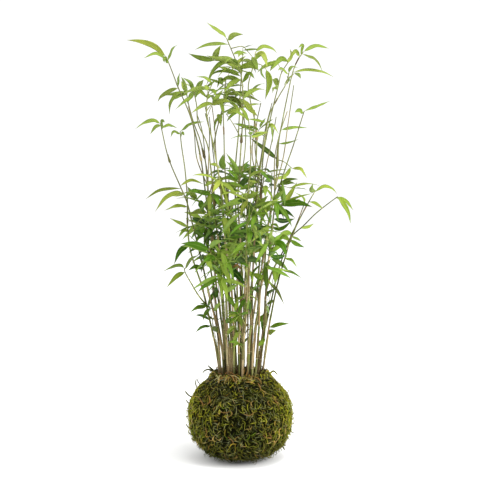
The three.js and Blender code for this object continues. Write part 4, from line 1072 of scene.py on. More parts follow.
def leaf_grid(leaves, rng):
    """Thin closed blades: a stalk, a gutter, waved edges, a slight twist and a fine tip."""
    count = len(leaves)
    each = (count, 1, 1)
    v = LEAF_ACROSS
    s = np.linspace(0, 1, LEAF_STATIONS)
    t = 0.7 * s + 0.15 * (1 - np.cos(np.pi * s))
    rib, side = (curve_at(np.array([leaf[key] for leaf in leaves]), t * LEAF_STEPS)
                 for key in ("rib", "side"))
    tangent = normed(np.gradient(rib, axis=1))
    side = squared_to(side, tangent)
    up = np.cross(tangent, side)
    flip = np.where(up[..., 2].mean(1) < 0, -1, 1)[:, None, None]
    side, up = side * flip, up * flip
    turn = (rng.normal(0, 0.25, count)[:, None] * (t - 0.3))[..., None]
    side, up = side * np.cos(turn) + up * np.sin(turn), up * np.cos(turn) - side * np.sin(turn)
    width = np.array([leaf["width"] for leaf in leaves]) * rng.uniform(0.95, 1.14, count)
    shape = rng.uniform(0.58, 0.72, count)[:, None]
    blade = np.sin(np.pi * share_of(t, 0.05, 0.95) ** shape) ** 1.05
    stalk = STALK_HALF * (1 - share_of(t, 0.04, 0.06))
    half = np.maximum(np.maximum(blade * width[:, None] / 2, stalk), TIP_HALF)[..., None]
    t = t[None, :, None]
    opened = share_of(t, 0.03, 0.09)
    gutter = rng.uniform(0.14, 0.34, each) * half * (np.abs(v) ** 1.15 - 1) * opened
    phase = rng.uniform(0, 2 * np.pi, each)
    wave = np.sin(2 * np.pi * rng.uniform(1.2, 3.2, each) * t + phase + 1.3 * np.sign(v))
    wave = rng.uniform(0, 0.13, each) * half * v ** 2 * wave
    body = BLADE_THICK * (1 - 0.6 * v ** 2) + RIB_THICK * np.exp(-(v / 0.22) ** 2)
    thick = (STALK_THICK * (1 - opened) + opened * body) * np.clip(half / 0.5, 0.3, 1)
    height = gutter + wave + thick * (LEAF_TOP - 0.5) * (np.abs(v) < 0.99)
    rings = (rib[:, :, None] + side[:, :, None] * (v * half)[..., None]
             + up[:, :, None] * height[..., None])
    tones = np.array([leaf_tone(leaf, rng) for leaf in leaves])
    return rings, read_at(rings, v, t, LEAF_TOP), tones


# ---- canes ----
NODE_GAP = (36, 60)
ROW_STEP = 4
NODE_ROWS = np.array([-2.4, -1.3, -0.7, -0.25, 0.25, 0.7, 1.3, 1.8, 2.4])
FAR_FROM_NODE = 20
DRYNESS = (0.1, 0.4, 0.8)       # of a length of cane, and how often, outside the clump and inside
DRYNESS_ODDS = ((0.42, 0.24, 0.34), (0.5, 0.26, 0.24))
GREEN_ABOVE = 330
SHORT_CANE = 230
LONG_TWIG = 45
TWIG_ROWS = 18
LONG_TWIG_THICK = (1.3, 0.7)
SHOOT_THICK = (0.55, 0.4)
PAPER = 0.14                    # the thickness of a sheath, and where along it it is widest
BULGE_AT = 0.14
PAPER_LOW = 250                 # below this, sheaths are more and cling less
PEELS_LOW = 300
SHEATHS_APART = 26


class Cane:
    """The smooth line of a cane, read by the distance along it."""

    def __init__(self, line, slim=1):
        self.slim = slim
        self.points = np.array(line, float)
        steps = np.linalg.norm(np.diff(self.points, axis=0), axis=1)
        self.reach = np.concatenate([[0], np.cumsum(steps)])
        self.whole = self.reach[-1]

    def at(self, s):
        place = np.interp(s, self.reach, np.arange(len(self.reach)))
        return curve_at(self.points[None], np.atleast_1d(place))[0]

    def height(self, s):
        return self.at(s)[0, 2]

    def radius(self, s):
        top = self.points[-1, 2] - SOIL_TOP
        rise = np.clip((self.at(s)[:, 2] - SOIL_TOP) / top, 0, 1)
        taper = rise ** (0.5 if top < SHORT_CANE else 0.9)
        return self.slim * (CANE_BASE + (CANE_TIP - CANE_BASE) * taper)

    def reach_at(self, height):
        """The distance along the cane where it is seen at that height."""
        s = np.linspace(0, self.whole, 400)
        p = self.at(s)
        level = EYE_HEIGHT + (p[:, 2] - EYE_HEIGHT) / (1 + p[:, 1] / EYE_DISTANCE)
        return float(np.interp(height, level, s))


def cane_rings(cane, nodes, dry, sides=9):
    rows = np.concatenate([np.arange(0, cane.whole, ROW_STEP), [cane.whole],
                           (nodes[:, None] + NODE_ROWS).ravel()])
    rows = np.unique(np.round(rows[(rows >= 0) & (rows <= cane.whole)], 2))
    from_node = rows[:, None] - nodes
    from_node = from_node[np.arange(len(rows)), np.abs(from_node).argmin(1)]
    radius = cane.radius(rows) * (1 + 0.24 * np.exp(-(from_node / 0.9) ** 2)
                                  - 0.10 * np.exp(-((from_node - 1.6) / 0.5) ** 2))
    rings = swept(cane.at(rows)[None], radius[None], sides)
    return rings, read_at(rings, dry[np.searchsorted(nodes, rows)][:, None],
                          np.minimum(np.abs(from_node), FAR_FROM_NODE)[:, None], rings[..., 2])


def sheath_rings(cane, low, high, radius, rng, sides=12, rows=9):
    """A thin paper sleeve round a cane, open and pointed at its top."""
    t = np.linspace(0, 1, rows)
    s = low + t * (high - low)
    centre = cane.at(s)
    tangent, across, third = (f[0][:, None] for f in carried_frames(centre[None]))
    inner = cane.radius(s) * 1.02 + 0.06
    fall = (1 - np.clip(t - BULGE_AT, 0, 1) / (1 - BULGE_AT)) ** 1.1
    bulge = np.where(t < BULGE_AT, t / BULGE_AT, fall)
    outer = inner + PAPER + np.maximum(radius - inner - PAPER, 0) * bulge
    angle = full_turn(sides)
    facing = 0.5 + 0.5 * np.cos(angle - rng.uniform(0, 2 * np.pi))
    opened = 0.15 if centre[0, 2] < PAPER_LOW else 0.5
    oval = 0.07 * np.cos(2 * angle + rng.uniform(0, 6))
    loosen = 1 + opened * t[:, None] ** 3 * facing ** 2 + oval
    down = -t[:, None] ** 2 * (high - low) * rng.uniform(0.2, 0.42) * (1 - facing)
    out = across * np.cos(angle)[:, None] + third * np.sin(angle)[:, None]
    along = tangent * down[..., None]
    skins = [centre[:, None] + out * (reach[:, None] * loosen)[..., None] + along
             for reach in (outer, np.maximum(outer - PAPER, 0.5))]
    rings = np.concatenate([skins[0], skins[1][::-1]])[None]
    return rings, read_at(rings, np.arange(sides) / sides, np.concatenate([t, t[::-1]])[:, None],
                          rings[..., 2])


def peel_rings(cane, s, rng):
    """A narrow dry strip that has come loose at a node, and points up or hangs beside the cane."""
    q = np.linspace(0, 1, 9)
    beside = cane.at(s + rng.uniform(10, 42) * q * (1 if rng.random() < 0.6 else -1))
    angle = rng.uniform(0, 2 * np.pi)
    out = np.array([np.cos(angle), np.sin(angle), 0])
    away = cane.radius(s) + rng.uniform(0.5, 4.5) * q ** 1.7
    line = (beside + out * away[:, None])[None]
    rings = swept(line, (rng.uniform(0.4, 0.75) * (1.1 - q))[None], 5, flat=0.4)
    return rings, read_at(rings, 0.5, q[:, None], rings[..., 2])


def twig_rings(line, thick):
    rings = swept(np.array(smooth(line, TWIG_ROWS))[None],
                  np.linspace(*thick, TWIG_ROWS + 1)[None], 7)
    return rings, read_at(rings, 0.2, 9, rings[..., 2])


def sheath_grids(stem, cane, nodes, rng):
    """Loose peels, the sheaths of the table and more of them at some of the nodes."""
    grids = []
    spans = [(cane.reach_at(low), cane.reach_at(high), radius * (0.78 if low < 260 else 1))
             for low, high, radius in stem.get("sheaths", ())]
    for s in nodes[:-1]:
        for _ in range(rng.poisson(1.5 if cane.height(s) < PEELS_LOW else 0.2)):
            tone = [[rng.normal(0.30, 0.3), 0.8 * (rng.random() < 0.3), rng.random()]]
            grids.append((*peel_rings(cane, s, rng), tone))
    for s in nodes:
        is_low = cane.height(s) < PAPER_LOW
        chosen = rng.random() < (0.65 if is_low else 0.2)
        if chosen and all(abs(s - span[0]) > SHEATHS_APART for span in spans):
            high = min(s + rng.uniform(*((24, 44) if is_low else (8, 18))), cane.whole - 1)
            spans.append((s, high, cane.radius(s)[0] + rng.uniform(0.1, 0.35)))
    for span in spans:
        tone = [[np.clip(rng.normal(0.36, 0.30), 0, 1), rng.random(), rng.random()]]
        grids.append((*sheath_rings(cane, *span, rng), tone, LOOPED))
    return grids


def dress_stem(number, plant, looks, rng):
    name = f"bamboo_stem_{number:02d}"
    stem, cane = plant["stem"], Cane(plant["line"])
    gaps = rng.uniform(*NODE_GAP, 40)
    nodes = HOLE_DEPTH + rng.uniform(6, 34) + np.cumsum(gaps) - gaps[0]
    nodes = nodes[nodes < cane.whole - 8]
    outer = abs(stem["base"][0]) > 22 or stem["lean"] > 30
    dry = rng.choice(DRYNESS, len(nodes) + 1, p=DRYNESS_ODDS[outer])
    heights = np.concatenate([[cane.points[0, 2]], cane.at(nodes)[:, 2]])
    dry = np.where(heights > GREEN_ABOVE, dry * 0.4, dry)
    # painted shade: a cane whose foot stands further back is darker
    light = (0.38 if outer else 0.44) - 0.005 * stem["base"][1] + rng.normal(0, 0.16)
    tone = np.array([[0, np.clip(light, 0.14, 0.8), rng.random()]])
    twig_tone = tone + (0, 0.06, 0.1)
    wood = [(*cane_rings(cane, nodes, dry), tone)]
    for line in plant["twigs"]:
        is_long = math.dist(line[0], line[-1]) > LONG_TWIG
        thick = LONG_TWIG_THICK if is_long else (TWIG_RADIUS, 0.5)
        wood.append((*twig_rings(line, thick), twig_tone))
    wood += [(*twig_rings(line, SHOOT_THICK), twig_tone) for line in plant["shoots"]]
    make_piece(f"{name}_cane", looks["cane"], wood, (name,))
    sleeves = sheath_grids(stem, cane, nodes, rng)
    if sleeves:
        make_piece(f"{name}_sheaths", looks["sheath"], sleeves, (name,), aspect=1.5)
    green = [leaf for leaf in plant["leaves"] if leaf["tone"] != DRY] + plant["fills"]
    dried = [leaf for leaf in plant["leaves"] if leaf["tone"] == DRY]
    for word, leaves, look in (("leaves", green, "leaf"), ("dry_leaf", dried, "dry")):
        if leaves:
            make_piece(f"{name}_{word}", looks[look], [leaf_grid(leaves, rng)], (name,),
                       aspect=3)


# Thin shoots without leaves, out of the soil or out of the cane beside their foot: depth, share of
# a cane's width, x, z.
STALKS = (
  (-21, 0.5, 4, 124, 4, 170, 3, 215, 5, 260), (-8, 0.55, 1, 126, 2, 160, 4, 200, 8, 240, 9, 280),
  (2, 0.6, 10, 126, 11, 170, 11, 220, 13, 262), (-4, 0.5, 23, 125, 30, 170, 35, 210, 38, 250),
  (6, 0.5, -22, 125, -29, 180, -37, 225, -42, 266),
  (-28, 0.5, -12, 123, -12, 160, -16, 205, -17, 240),
  (-26, 0.45, 12, 123, 10, 150, 17, 190, 20, 226), (12, 0.6, -5, 126, -9, 180, -12, 230, -12, 290),
  (14, 0.6, 18, 126, 24, 190, 28, 250, 33, 300), (22, 0.6, 6, 125, 6, 190, 4, 250, 6, 310),
  (-14, 0.5, 24, 124, 30, 160, 34, 190, 40, 236), (-6, 0.5, -28, 123, -34, 170, -42, 214, -47, 250),
  (26, 0.6, -24, 122, -25, 180, -30, 240, -36, 300), (18, 0.6, 30, 122, 34, 180, 44, 240, 52, 290),
  (30, 0.9, -38, 380, -37, 420, -40, 460, -44, 500),
  (24, 0.9, -28, 380, -33, 430, -41, 470, -50, 505),
  (28, 0.9, -50, 390, -50, 440, -54, 478, -62, 505), (16, 0.9, 44, 395, 50, 440, 57, 475, 68, 508),
  (26, 0.9, 58, 395, 62, 440, 69, 490, 77, 545), (10, 0.9, 30, 390, 38, 430, 46, 466, 52, 500),
  (-18, 0.7, 0, 123, 1, 160, 1, 205, 0, 250, -1, 290),
  (-10, 0.8, 10, 124, 11, 160, 12, 205, 13, 250, 13, 290),
  (-24, 0.6, 14, 122, 16, 160, 18, 205, 19, 250), (8, 0.7, 3, 126, 2, 160, 2, 200, 1, 250, 1, 300),
  (20, 0.7, 14, 124, 15, 170, 16, 215, 18, 260, 20, 300),
  (-6, 0.6, 27, 123, 31, 165, 34, 205, 37, 245), (2, 0.6, -20, 125, -27, 175, -34, 215, -40, 255),
  (-16, 0.55, -26, 121, -31, 165, -37, 205, -44, 240),
  (16, 0.6, -10, 125, -12, 170, -14, 220, -16, 270),
  (32, 0.9, -32, 400, -34, 440, -36, 480, -40, 515), (20, 0.9, 16, 400, 18, 440, 20, 480, 21, 510),
  (30, 0.9, 22, 410, 22, 450, 24, 490, 30, 520), (24, 0.9, -44, 395, -45, 440, -44, 480, -50, 515),
  (14, 0.9, -58, 400, -62, 440, -66, 480, -74, 515), (-8, 0.9, 24, 400, 30, 440, 36, 480, 46, 520),
  (-12, 0.9, 0, 400, 6, 440, 8, 480, 2, 520),
)


def thin_stalks(look, rng):
    stalks = []
    spots = [p for plant in plants for p in line_samples(plant["line"])]
    for depth, slim, *flat in STALKS:
        points = [placed(x, z, depth) for x, z in pairs(flat)]
        if points[0][2] > 200:
            points[0] = min(spots, key=lambda p: math.dist(p, points[0]))
        cane = Cane(smooth(points, 24), slim)
        nodes = np.cumsum(rng.uniform(26, 48, 12))
        nodes = nodes[nodes < cane.whole - 6]
        dry = rng.choice([0.1, 0.6, 0.9], len(nodes) + 1)
        tone = [[0, rng.uniform(0.05, 0.66), rng.random()]]
        stalks.append((*cane_rings(cane, nodes, dry, 7), tone))
    make_piece("thin_stalks", look, stalks)


# ---- the moss ----
COVER = ("moss_cover",)
BROWN = (0.82, 0.97)            # where browns are on the moss's ramp of colours
STRAND_SINK = 1.6               # how deep the ends of a strand are
STRAND_REST = 0.35              # the least height of its line over the floor
HAIR_REST = 0.4
SHOULDER_TRIM = 4.8
FOOT_TRIM = 4.8
FULL_SIDE = 3.8
BED_DEPTH = 2.6                 # of the bed under the strands
BED_ROUGH = 1.1
MOUTH_EDGE = 36                 # where the soil ends and the moss begins, from the axis


def lump(angle, down):
    """How far the moss stands out at an angle round the ball and one down from its top, 0 to 1."""
    wave = (np.sin(5 * angle + 4 * down) * np.sin(7 * down + 1)
            + np.sin(9 * angle - 6 * down + 2) * np.sin(11 * down)
            + np.sin(3 * angle + 13 * down + 4))
    return 0.5 + wave / 6


def down_from_top(way):
    return np.arccos(np.clip(way[..., 2], -1, 1))


def shoulder_at(down):
    return np.clip((1.45 - down) / 0.6, 0, 1)


def calm(way):
    """How much the strands rise: less on the shoulder, where the moss is pressed flat."""
    return 1 - 0.5 * shoulder_at(down_from_top(way))


def moss_reach(way):
    """The radius of the ball's skin in each direction: sloping at the mouth and tucked in at the
    foot, with a fuller side."""
    down = down_from_top(way)
    around = np.arctan2(way[..., 1], way[..., 0])
    foot = share_of(down, 2.48, 0.14)
    full = np.exp(-((down - 2.12) / 0.32) ** 2) * (0.6 + 0.4 * np.exp(-(around / 0.9) ** 2))
    left = np.clip(-np.cos(around), 0, 1)
    shoulder = (SHOULDER_TRIM + 1.8 * left) * shoulder_at(down) ** 1.2
    trim = shoulder + FOOT_TRIM * foot - FULL_SIDE * full
    return BALL_RADIUS - trim + 2 * MOSS_LUMP * (lump(around, down) - 0.5)


def over_skin(way, above):
    """The points at that height over the ball's skin in each direction."""
    return way * (moss_reach(way) + above)[..., None] + (0, 0, BALL_CENTRE)


def patches(points, size, seed):
    """Smooth noise from about -1 to 1 at each point, with features of that size."""
    flat = points.reshape(-1, 3)
    made = [smooth_noise((x / size + seed, y / size, z / size)) for x, y, z in flat]
    return np.array(made).reshape(points.shape[:-1])


def ball_patches(way, size, seed):
    return patches(way * BALL_RADIUS, size, seed)


def bump_of(q, start, run, least):
    """A half wave along a strand, from that share of its height at the ends of the wave."""
    return least + (1 - least) * np.sin(np.pi * (start + run * q))


def shaded_moss_bed(look, sides=150, rows=84):
    around = full_turn(sides)
    foot = math.acos(-BALL_CENTRE / BALL_RADIUS)
    mouth = math.asin(MOUTH_RADIUS / BALL_RADIUS)
    lip = math.asin(LIP_RADIUS / SOIL_RADIUS)

    def on_sphere(down):
        return np.stack(np.broadcast_arrays(
            np.sin(down) * np.cos(around), np.sin(down) * np.sin(around), np.cos(down)), -1)

    way = on_sphere(np.linspace(foot, mouth, rows)[:, None])
    rough = ball_patches(way, 6, 3.1) + 0.6 * ball_patches(way, 2.6, 9.7)
    fade = np.minimum(1, np.arange(rows) / 4)[:, None]
    reach = moss_reach(way) - BED_DEPTH + BED_ROUGH * rough * fade
    apart = SOIL_CENTRE - BALL_CENTRE
    soil = apart * way[..., 2] + np.sqrt(SOIL_RADIUS ** 2 - apart ** 2 * (1 - way[..., 2] ** 2))
    outside = way * np.maximum(reach, soil + 0.4)[..., None] + (0, 0, BALL_CENTRE)
    outside = kept_up(outside, 0)
    inside = SOIL_RADIUS * on_sphere(np.linspace(lip, math.pi - 0.01, 30)[:, None])
    rings = np.concatenate([outside[:1] * (0.02, 0.02, 0), outside, inside + (0, 0, SOIL_CENTRE)])
    make_piece("shaded_moss_bed", look, [(rings[None], np.zeros(3), np.zeros((1, 3)))], COVER)


def strand_grid(middle, tangent, bend, size, lift, tip, width, sides=3, stations=8):
    """Strands that lie round the ball: middle direction, run, sideways bend, length and height."""
    q = np.linspace(0, 1, stations)[None]
    s = (q - 0.5) * size[:, None] / BALL_RADIUS
    aside = bend[:, None] * s * np.abs(s) * 3 + bend[:, None] * s * s * 5
    way = normed(middle[:, None] + tangent[:, None] * s[..., None]
                 + np.cross(middle, tangent)[:, None] * aside[..., None])
    rise = lift[:, None] * np.sin(np.pi * q ** 0.85) + tip[:, None] * q ** 3
    above = rise * calm(way) - STRAND_SINK
    line = kept_up(over_skin(way, above), STRAND_REST)
    scales = 1 + 0.20 * np.where(np.arange(stations) % 2, 1, -1)
    rings = kept_up(swept(line, width[:, None] * bump_of(q, 0.12, 0.83, 0.25) * scales, sides))
    return rings, read_at(rings, np.arange(sides) / sides, 0.3, above[..., None]), line


def leaflets(line, lift, tone, rng):
    """The small pointed leaves all along each strand of moss, which lean forwards and outwards."""
    count, stations, _ = line.shape
    each = (count, LEAFLETS)
    t = np.linspace(0.03, 0.97, LEAFLETS) + rng.uniform(-0.03, 0.03, each)
    i = np.minimum((t * (stations - 1)).astype(int), stations - 2)
    f = (t * (stations - 1) - i)[..., None]
    rows = np.arange(count)[:, None]
    foot = line[rows, i] * (1 - f) + line[rows, i + 1] * f
    along = normed(line[rows, i + 1] - line[rows, i])
    out = normed(foot - (0, 0, BALL_CENTRE))
    angle = rng.uniform(-2.3, 2.3, (*each, 1))
    radial = out * np.cos(angle) + normed(np.cross(along, out)) * np.sin(angle)
    ahead = normed(along * 0.8 + radial * rng.uniform(0.4, 0.9, (*each, 1)))
    across = normed(np.cross(ahead, radial))
    size = (rng.uniform(0.9, 1.7, each) * (0.55 + 0.45 * np.sin(np.pi * t)))[..., None]
    wide = size * rng.uniform(0.15, 0.25, (*each, 1))
    thick = np.cross(across, ahead) * wide * 0.5
    base = np.stack([foot + across * wide, foot - across * wide, foot - thick], 2)
    tip = (foot + ahead * size)[:, :, None] + (base - foot[:, :, None]) * 0.12
    rings = kept_up(np.stack([base, tip], 2).reshape(-1, 2, 3, 3))
    high = (lift[rows, i] + size[..., 0] * 0.3).reshape(-1, 1, 1)
    tones = np.repeat(tone, LEAFLETS, axis=0)
    tones[:, 1] += rng.normal(0, 0.12, len(tones))
    return rings, read_at(rings, 0.5, np.array([[0.35], [1.0]]), high), tones


# Each layer's strands: how many, length, lift, share of raised tips, radius, shift on the ramp of
# colours, lightness, how far they are combed down at the sides, and bend.
# the deeper layers are darker and the top one lighter: painted shade and light in the depth of the
# moss
MOSS_LAYERS = (
  ("deep", 4000, (5, 11), (-0.8, 1.0), 0.02, (0.45, 0.80), -0.12, (-0.3, 0.3), 0, 2.8),
  ("middle", 2600, (6, 12), (0.6, 2.2), 0.10, (0.36, 0.60), 0.0, (-0.35, 0.9), 0.7, 2.8),
  ("top", 1600, (7, 14), (1.6, 3.6), 0.25, (0.40, 0.68), 0.06, (0.1, 1.8), 0.9, 2.8),
  ("long", 420, (14, 27), (1.8, 3.6), 0.15, (0.34, 0.52), 0.12, (0.2, 1.6), 3.0, 0.7),
)
LEAFY_LAYERS = ("middle", "top")
LEAFLETS = 10


def spread_over_ball(count, rng, low=-0.93, combed=0):
    """Directions that cover the ball evenly, from foot to mouth, each with a run along it."""
    k = np.arange(count) + 0.5
    high = math.cos(math.asin(42 / BALL_RADIUS))
    z = np.clip(high + (low - high) * k / count + rng.normal(0, 0.006, count), -0.95, 0.86)
    angle = k * GOLDEN_ANGLE + rng.normal(0, 0.03, count) + rng.uniform(0, 6)
    level = np.sqrt(1 - z * z)
    middle = np.stack([level * np.cos(angle), level * np.sin(angle), z], -1)
    comb = combed * (0.25 + np.abs(middle[:, :1]) ** 1.5)
    return middle, squared_to(rng.normal(0, 1, (count, 3)) - comb * (0, 0, 1), middle)


def moss_kind(middle, shift, rng):
    """Place on the ramp: dark green low in front, olive and yellow to the sides, some brown. The
    shift to lighter places at the sides and top, and to darker ones low down, is partly painted
    light and shade.
    """
    count = len(middle)
    patch = ball_patches(middle, 16, 5.3) + 0.6 * ball_patches(middle, 7, 8.8)
    side = np.abs(middle[:, 0]) ** 2.5
    # partly painted light: further up the ramp at the sides and top, lower down at the bottom
    kind = 0.28 + shift + 0.26 * patch + 0.26 * side + 0.10 * np.clip(middle[:, 2], -1, 1)
    kind = np.clip(kind + rng.normal(0, 0.09, count), 0, 0.78)
    brown = rng.random(count) < 0.07 + 0.16 * (ball_patches(middle, 9, 2.2) > 0.18)
    return np.where(brown, rng.uniform(*BROWN, count), kind)


def painted_moss_light(middle):
    """Painted light and shade, with patches: lighter on the shoulder and low on one side, darker
    between.
    """
    x, z = middle[:, 0], middle[:, 2]
    return (0.7 * ball_patches(middle, 21, 7.7) + 0.4 * ball_patches(middle, 8, 1.4)
            + 0.95 * np.exp(-((z - 0.52) / 0.2) ** 2) * (0.3 + np.abs(x))
            - 0.36 * np.exp(-((x + 0.15) / 0.4) ** 2 - ((z - 0.02) / 0.4) ** 2)
            + 0.75 * np.clip(x - 0.1, 0, 1) * np.exp(-((z + 0.4) / 0.3) ** 2))


def moss_strands(look, rng):
    for name, count, size, lift, raised, width, shift, light, combed, bend in MOSS_LAYERS:
        middle, tangent = spread_over_ball(count, rng, combed=combed)
        tip = np.where(rng.random(count) < raised, rng.uniform(1.0, 3.6, count), 0)
        side = np.abs(middle[:, 0]) ** 3
        kind = moss_kind(middle, shift, rng)
        # painted light and shade: lighter towards the left and right sides, and by the broad shades
        # over the ball
        shade = rng.uniform(*light, count) + 0.08 * side + painted_moss_light(middle)
        # the seed: fewer pale strands, partly painted sheen, at the sides and in some patches
        seed = rng.random(count) - 0.6 * side - np.clip(ball_patches(middle, 13, 4.4), 0, 1)
        tone = np.stack([kind, shade, seed], -1)
        rings, way, line = strand_grid(
            middle, tangent, rng.normal(0, bend, count), rng.uniform(*size, count),
            rng.uniform(*lift, count), tip, rng.uniform(*width, count))
        grids = [(rings, way, tone)]
        if name in LEAFY_LAYERS:
            grids.append(leaflets(line, way[:, :, 0, 2], tone, rng))
        make_piece(f"moss_{name}_strands", look, grids, COVER)


def moss_hairs(look, rng, count=2200):
    """Fine shoots that stand out of the moss and nod."""
    middle, tangent = spread_over_ball(count, rng, -0.86)
    q = np.linspace(0, 1, 7)[None]
    size = rng.uniform(3, 9, count)[:, None]
    rise = rng.uniform(1.0, 4.4, count)[:, None] * np.where(rng.random((count, 1)) < 0.12, 1.6, 1)
    way = normed(middle[:, None] + tangent[:, None] * (q ** 1.4 * size / BALL_RADIUS)[..., None])
    above = rise * np.sin(np.pi * 0.62 * q) / 0.93 * calm(way)
    line = over_skin(way, above)
    line[..., 2] -= 2.0 * q ** 2
    radius = rng.uniform(0.30, 0.55, count)[:, None] * (1 - 0.6 * q)
    rings = swept(kept_up(line, HAIR_REST), radius, 3)
    kind = moss_kind(middle, 0.14, rng)
    tone = np.stack([kind, rng.uniform(0.3, 1.0, count), rng.random(count)], -1)
    way = read_at(rings, 0.5, q[..., None], above[..., None] + 0.6)
    make_piece("moss_hairs", look, [(rings, way, tone)], COVER)


def on_ball(x, z, above):
    """The point of the ball's skin, raised by above, that is seen at x, z; or the nearest to it."""
    eye = np.array([0, -EYE_DISTANCE, EYE_HEIGHT], float)
    ray = normed(np.array(placed(x, z, 0)) - eye)
    centre = np.array([0, 0, BALL_CENTRE]) - eye
    along = ray @ centre
    off = centre @ centre - along ** 2
    skin = BALL_RADIUS
    for _ in range(4):
        spot = eye + ray * (along - math.sqrt(max((skin + above) ** 2 - off, 0)))
        skin = float(moss_reach(normed(spot - (0, 0, BALL_CENTRE))))
    return tuple(spot)


# Wisps that are seen to stand off the ball: radius, then x, z of points from the root to the tip.
WISPS = (
  (1.4, -36, 128, -42, 132, -47, 137), (1.2, -38, 127, -46, 131, -52, 129, -55, 125),
  (1.5, 41, 120, 46, 127, 50, 128.5, 55, 123), (1.3, 30, 125, 35, 130, 38, 131),
  (1.0, -64, 104, -65, 111, -64, 117), (1.2, -71, 90, -76, 93, -81, 99),
  (1.0, -73, 79, -77, 82, -80, 87), (1.2, -70, 41, -76, 44, -80, 50),
  (1.0, -68, 34, -73, 34, -77, 38), (1.0, -63, 27, -68, 25, -72, 28), (1.2, 56, 27, 61, 19, 66, 10),
  (0.7, 73, 74, 77, 77, 79, 81), (0.7, 75, 61, 78, 64, 81, 69), (0.7, 75, 49, 79, 50, 80, 55),
  (0.8, 73, 41, 76, 37, 80, 36), (0.7, 68, 31, 71, 27, 75, 26), (0.7, 68, 94, 71, 98, 72, 103),
  (0.8, -59, 109, -62, 114, -61, 119), (0.8, -75, 62, -78, 60, -81, 62),
  (0.6, -56, 18, -59, 14, -61, 15), (0.6, 63, 20, 66, 17, 69, 18), (0.6, 75, 56, 78, 57, 80, 60),
)
# Dry strips that are seen over the front of the mouth and on the moss, as the wisps.
STRIPS = (
  (2.1, -24, 115, -21, 124, -17, 127, -11, 125, -7, 120, -5, 114),
  (1.6, -22, 118, -17, 123, -13, 118), (1.7, -16, 117, -12, 121, -8, 113),
  (1.8, 3, 121, 6, 129, 5, 134), (1.6, 9, 121, 11, 128, 10, 132), (1.1, 12, 117, 18, 121, 24, 118),
  (1.2, 20, 116, 24, 119, 29, 115, 32, 109), (1.0, 26, 111, 29, 106, 31, 99),
  (1.1, -40, 118, -33, 125, -27, 124), (1.0, -34, 114, -28, 119, -25, 113),
  (0.9, -46, 92, -44, 84, -48, 78), (0.9, -30, 68, -22, 66, -15, 68),
  (1.0, -18, 30, -12, 25, -9, 18), (1.0, 42, 36, 46, 30, 45, 22), (0.9, 34, 33, 40, 28, 47, 30),
  (0.9, -52, 44, -49, 38, -50, 32), (0.9, -60, 88, -56, 82, -54, 74), (0.8, 48, 92, 52, 84, 58, 78),
  (0.8, 6, 64, 14, 62, 20, 66),
)
STRAND_ROWS = 16
LITTER_REACH = 38


def placed_strands(name, rows, look, kinds, above, rng, arched=False, nodes=()):
    """Single strands by where they are seen: out from the moss, or arched over it."""
    grids = []
    for radius, *flat_points in rows:
        points = pairs(flat_points)
        q = np.linspace(0, 1, len(points))
        heights = above * np.sin(np.pi * (0.1 + 0.8 * q)) if arched else (above + 1.5) * q - 1.5
        line = smooth([on_ball(x, z, h) for (x, z), h in zip(points, heights)], STRAND_ROWS)
        q = np.linspace(0, 1, STRAND_ROWS + 1)
        rings = swept(np.array(line)[None], radius * bump_of(q, 0.15, 0.75, 0.3)[None], 6,
                      flat=0.5 if arched else 1)
        tone = [[rng.uniform(*kinds), rng.uniform(0.1, 0.6), 0.3]]
        grids.append((rings, read_at(rings, np.arange(6) / 6, q[:, None], 3), tone))
    make_piece(name, look, grids, nodes)


def top_level(reach):
    """The height of the top of the soil, or of the moss round it, at a distance from the axis."""
    soil = SOIL_TOP - SOIL_DOME * reach ** 2
    moss = BALL_CENTRE + np.sqrt(np.maximum((BALL_RADIUS - SHOULDER_TRIM) ** 2 - reach ** 2, 1))
    return soil + (moss - soil) * share_of(reach, MOUTH_EDGE, 3)


def around_axis(reach, angle):
    return reach * np.cos(angle), reach * np.sin(angle)


def some_brown(count, share, browns, middle, spread, most, rng):
    """Places on the moss's ramp: a share of browns, and greens round a middle."""
    return np.where(rng.random(count) < share, rng.uniform(*browns, count),
                    np.clip(rng.normal(middle, spread, count), 0, most))


def mouth_strands(look, rng, count=520):
    """Strands that hang over the lip of the mouth and onto the soil, between the canes."""
    q = np.linspace(0, 1, 10)[None]
    angle = rng.uniform(0, 2 * np.pi, count)[:, None] + rng.normal(0, 0.25, (count, 1)) * q ** 1.5
    start = rng.uniform(MOUTH_EDGE, 49, count)[:, None]
    reach = start - rng.uniform(2, 10, count)[:, None] * q
    high = rng.uniform(0.2, 1.6, count)
    high = high + np.where(rng.random(count) < 0.2, rng.uniform(0, 3.5, count), 0)
    z = top_level(reach) + high[:, None] * (0.3 + np.sin(np.pi * q))
    line = np.stack([*around_axis(reach, angle), z], -1)
    rings = swept(line, rng.uniform(0.4, 0.85, count)[:, None] * bump_of(q, 0.12, 0.8, 0.3), 3)
    way = read_at(rings, 0.5, q[..., None], rng.uniform(0.6, 3.4, count)[:, None, None])
    kind = some_brown(count, 0.28, (0.82, 0.94), 0.40, 0.18, 0.78, rng)
    tone = np.stack([kind, rng.uniform(-0.2, 1.3, count), rng.random(count)], -1)
    make_piece("mouth_strands", look, [(rings, way, tone)], COVER)


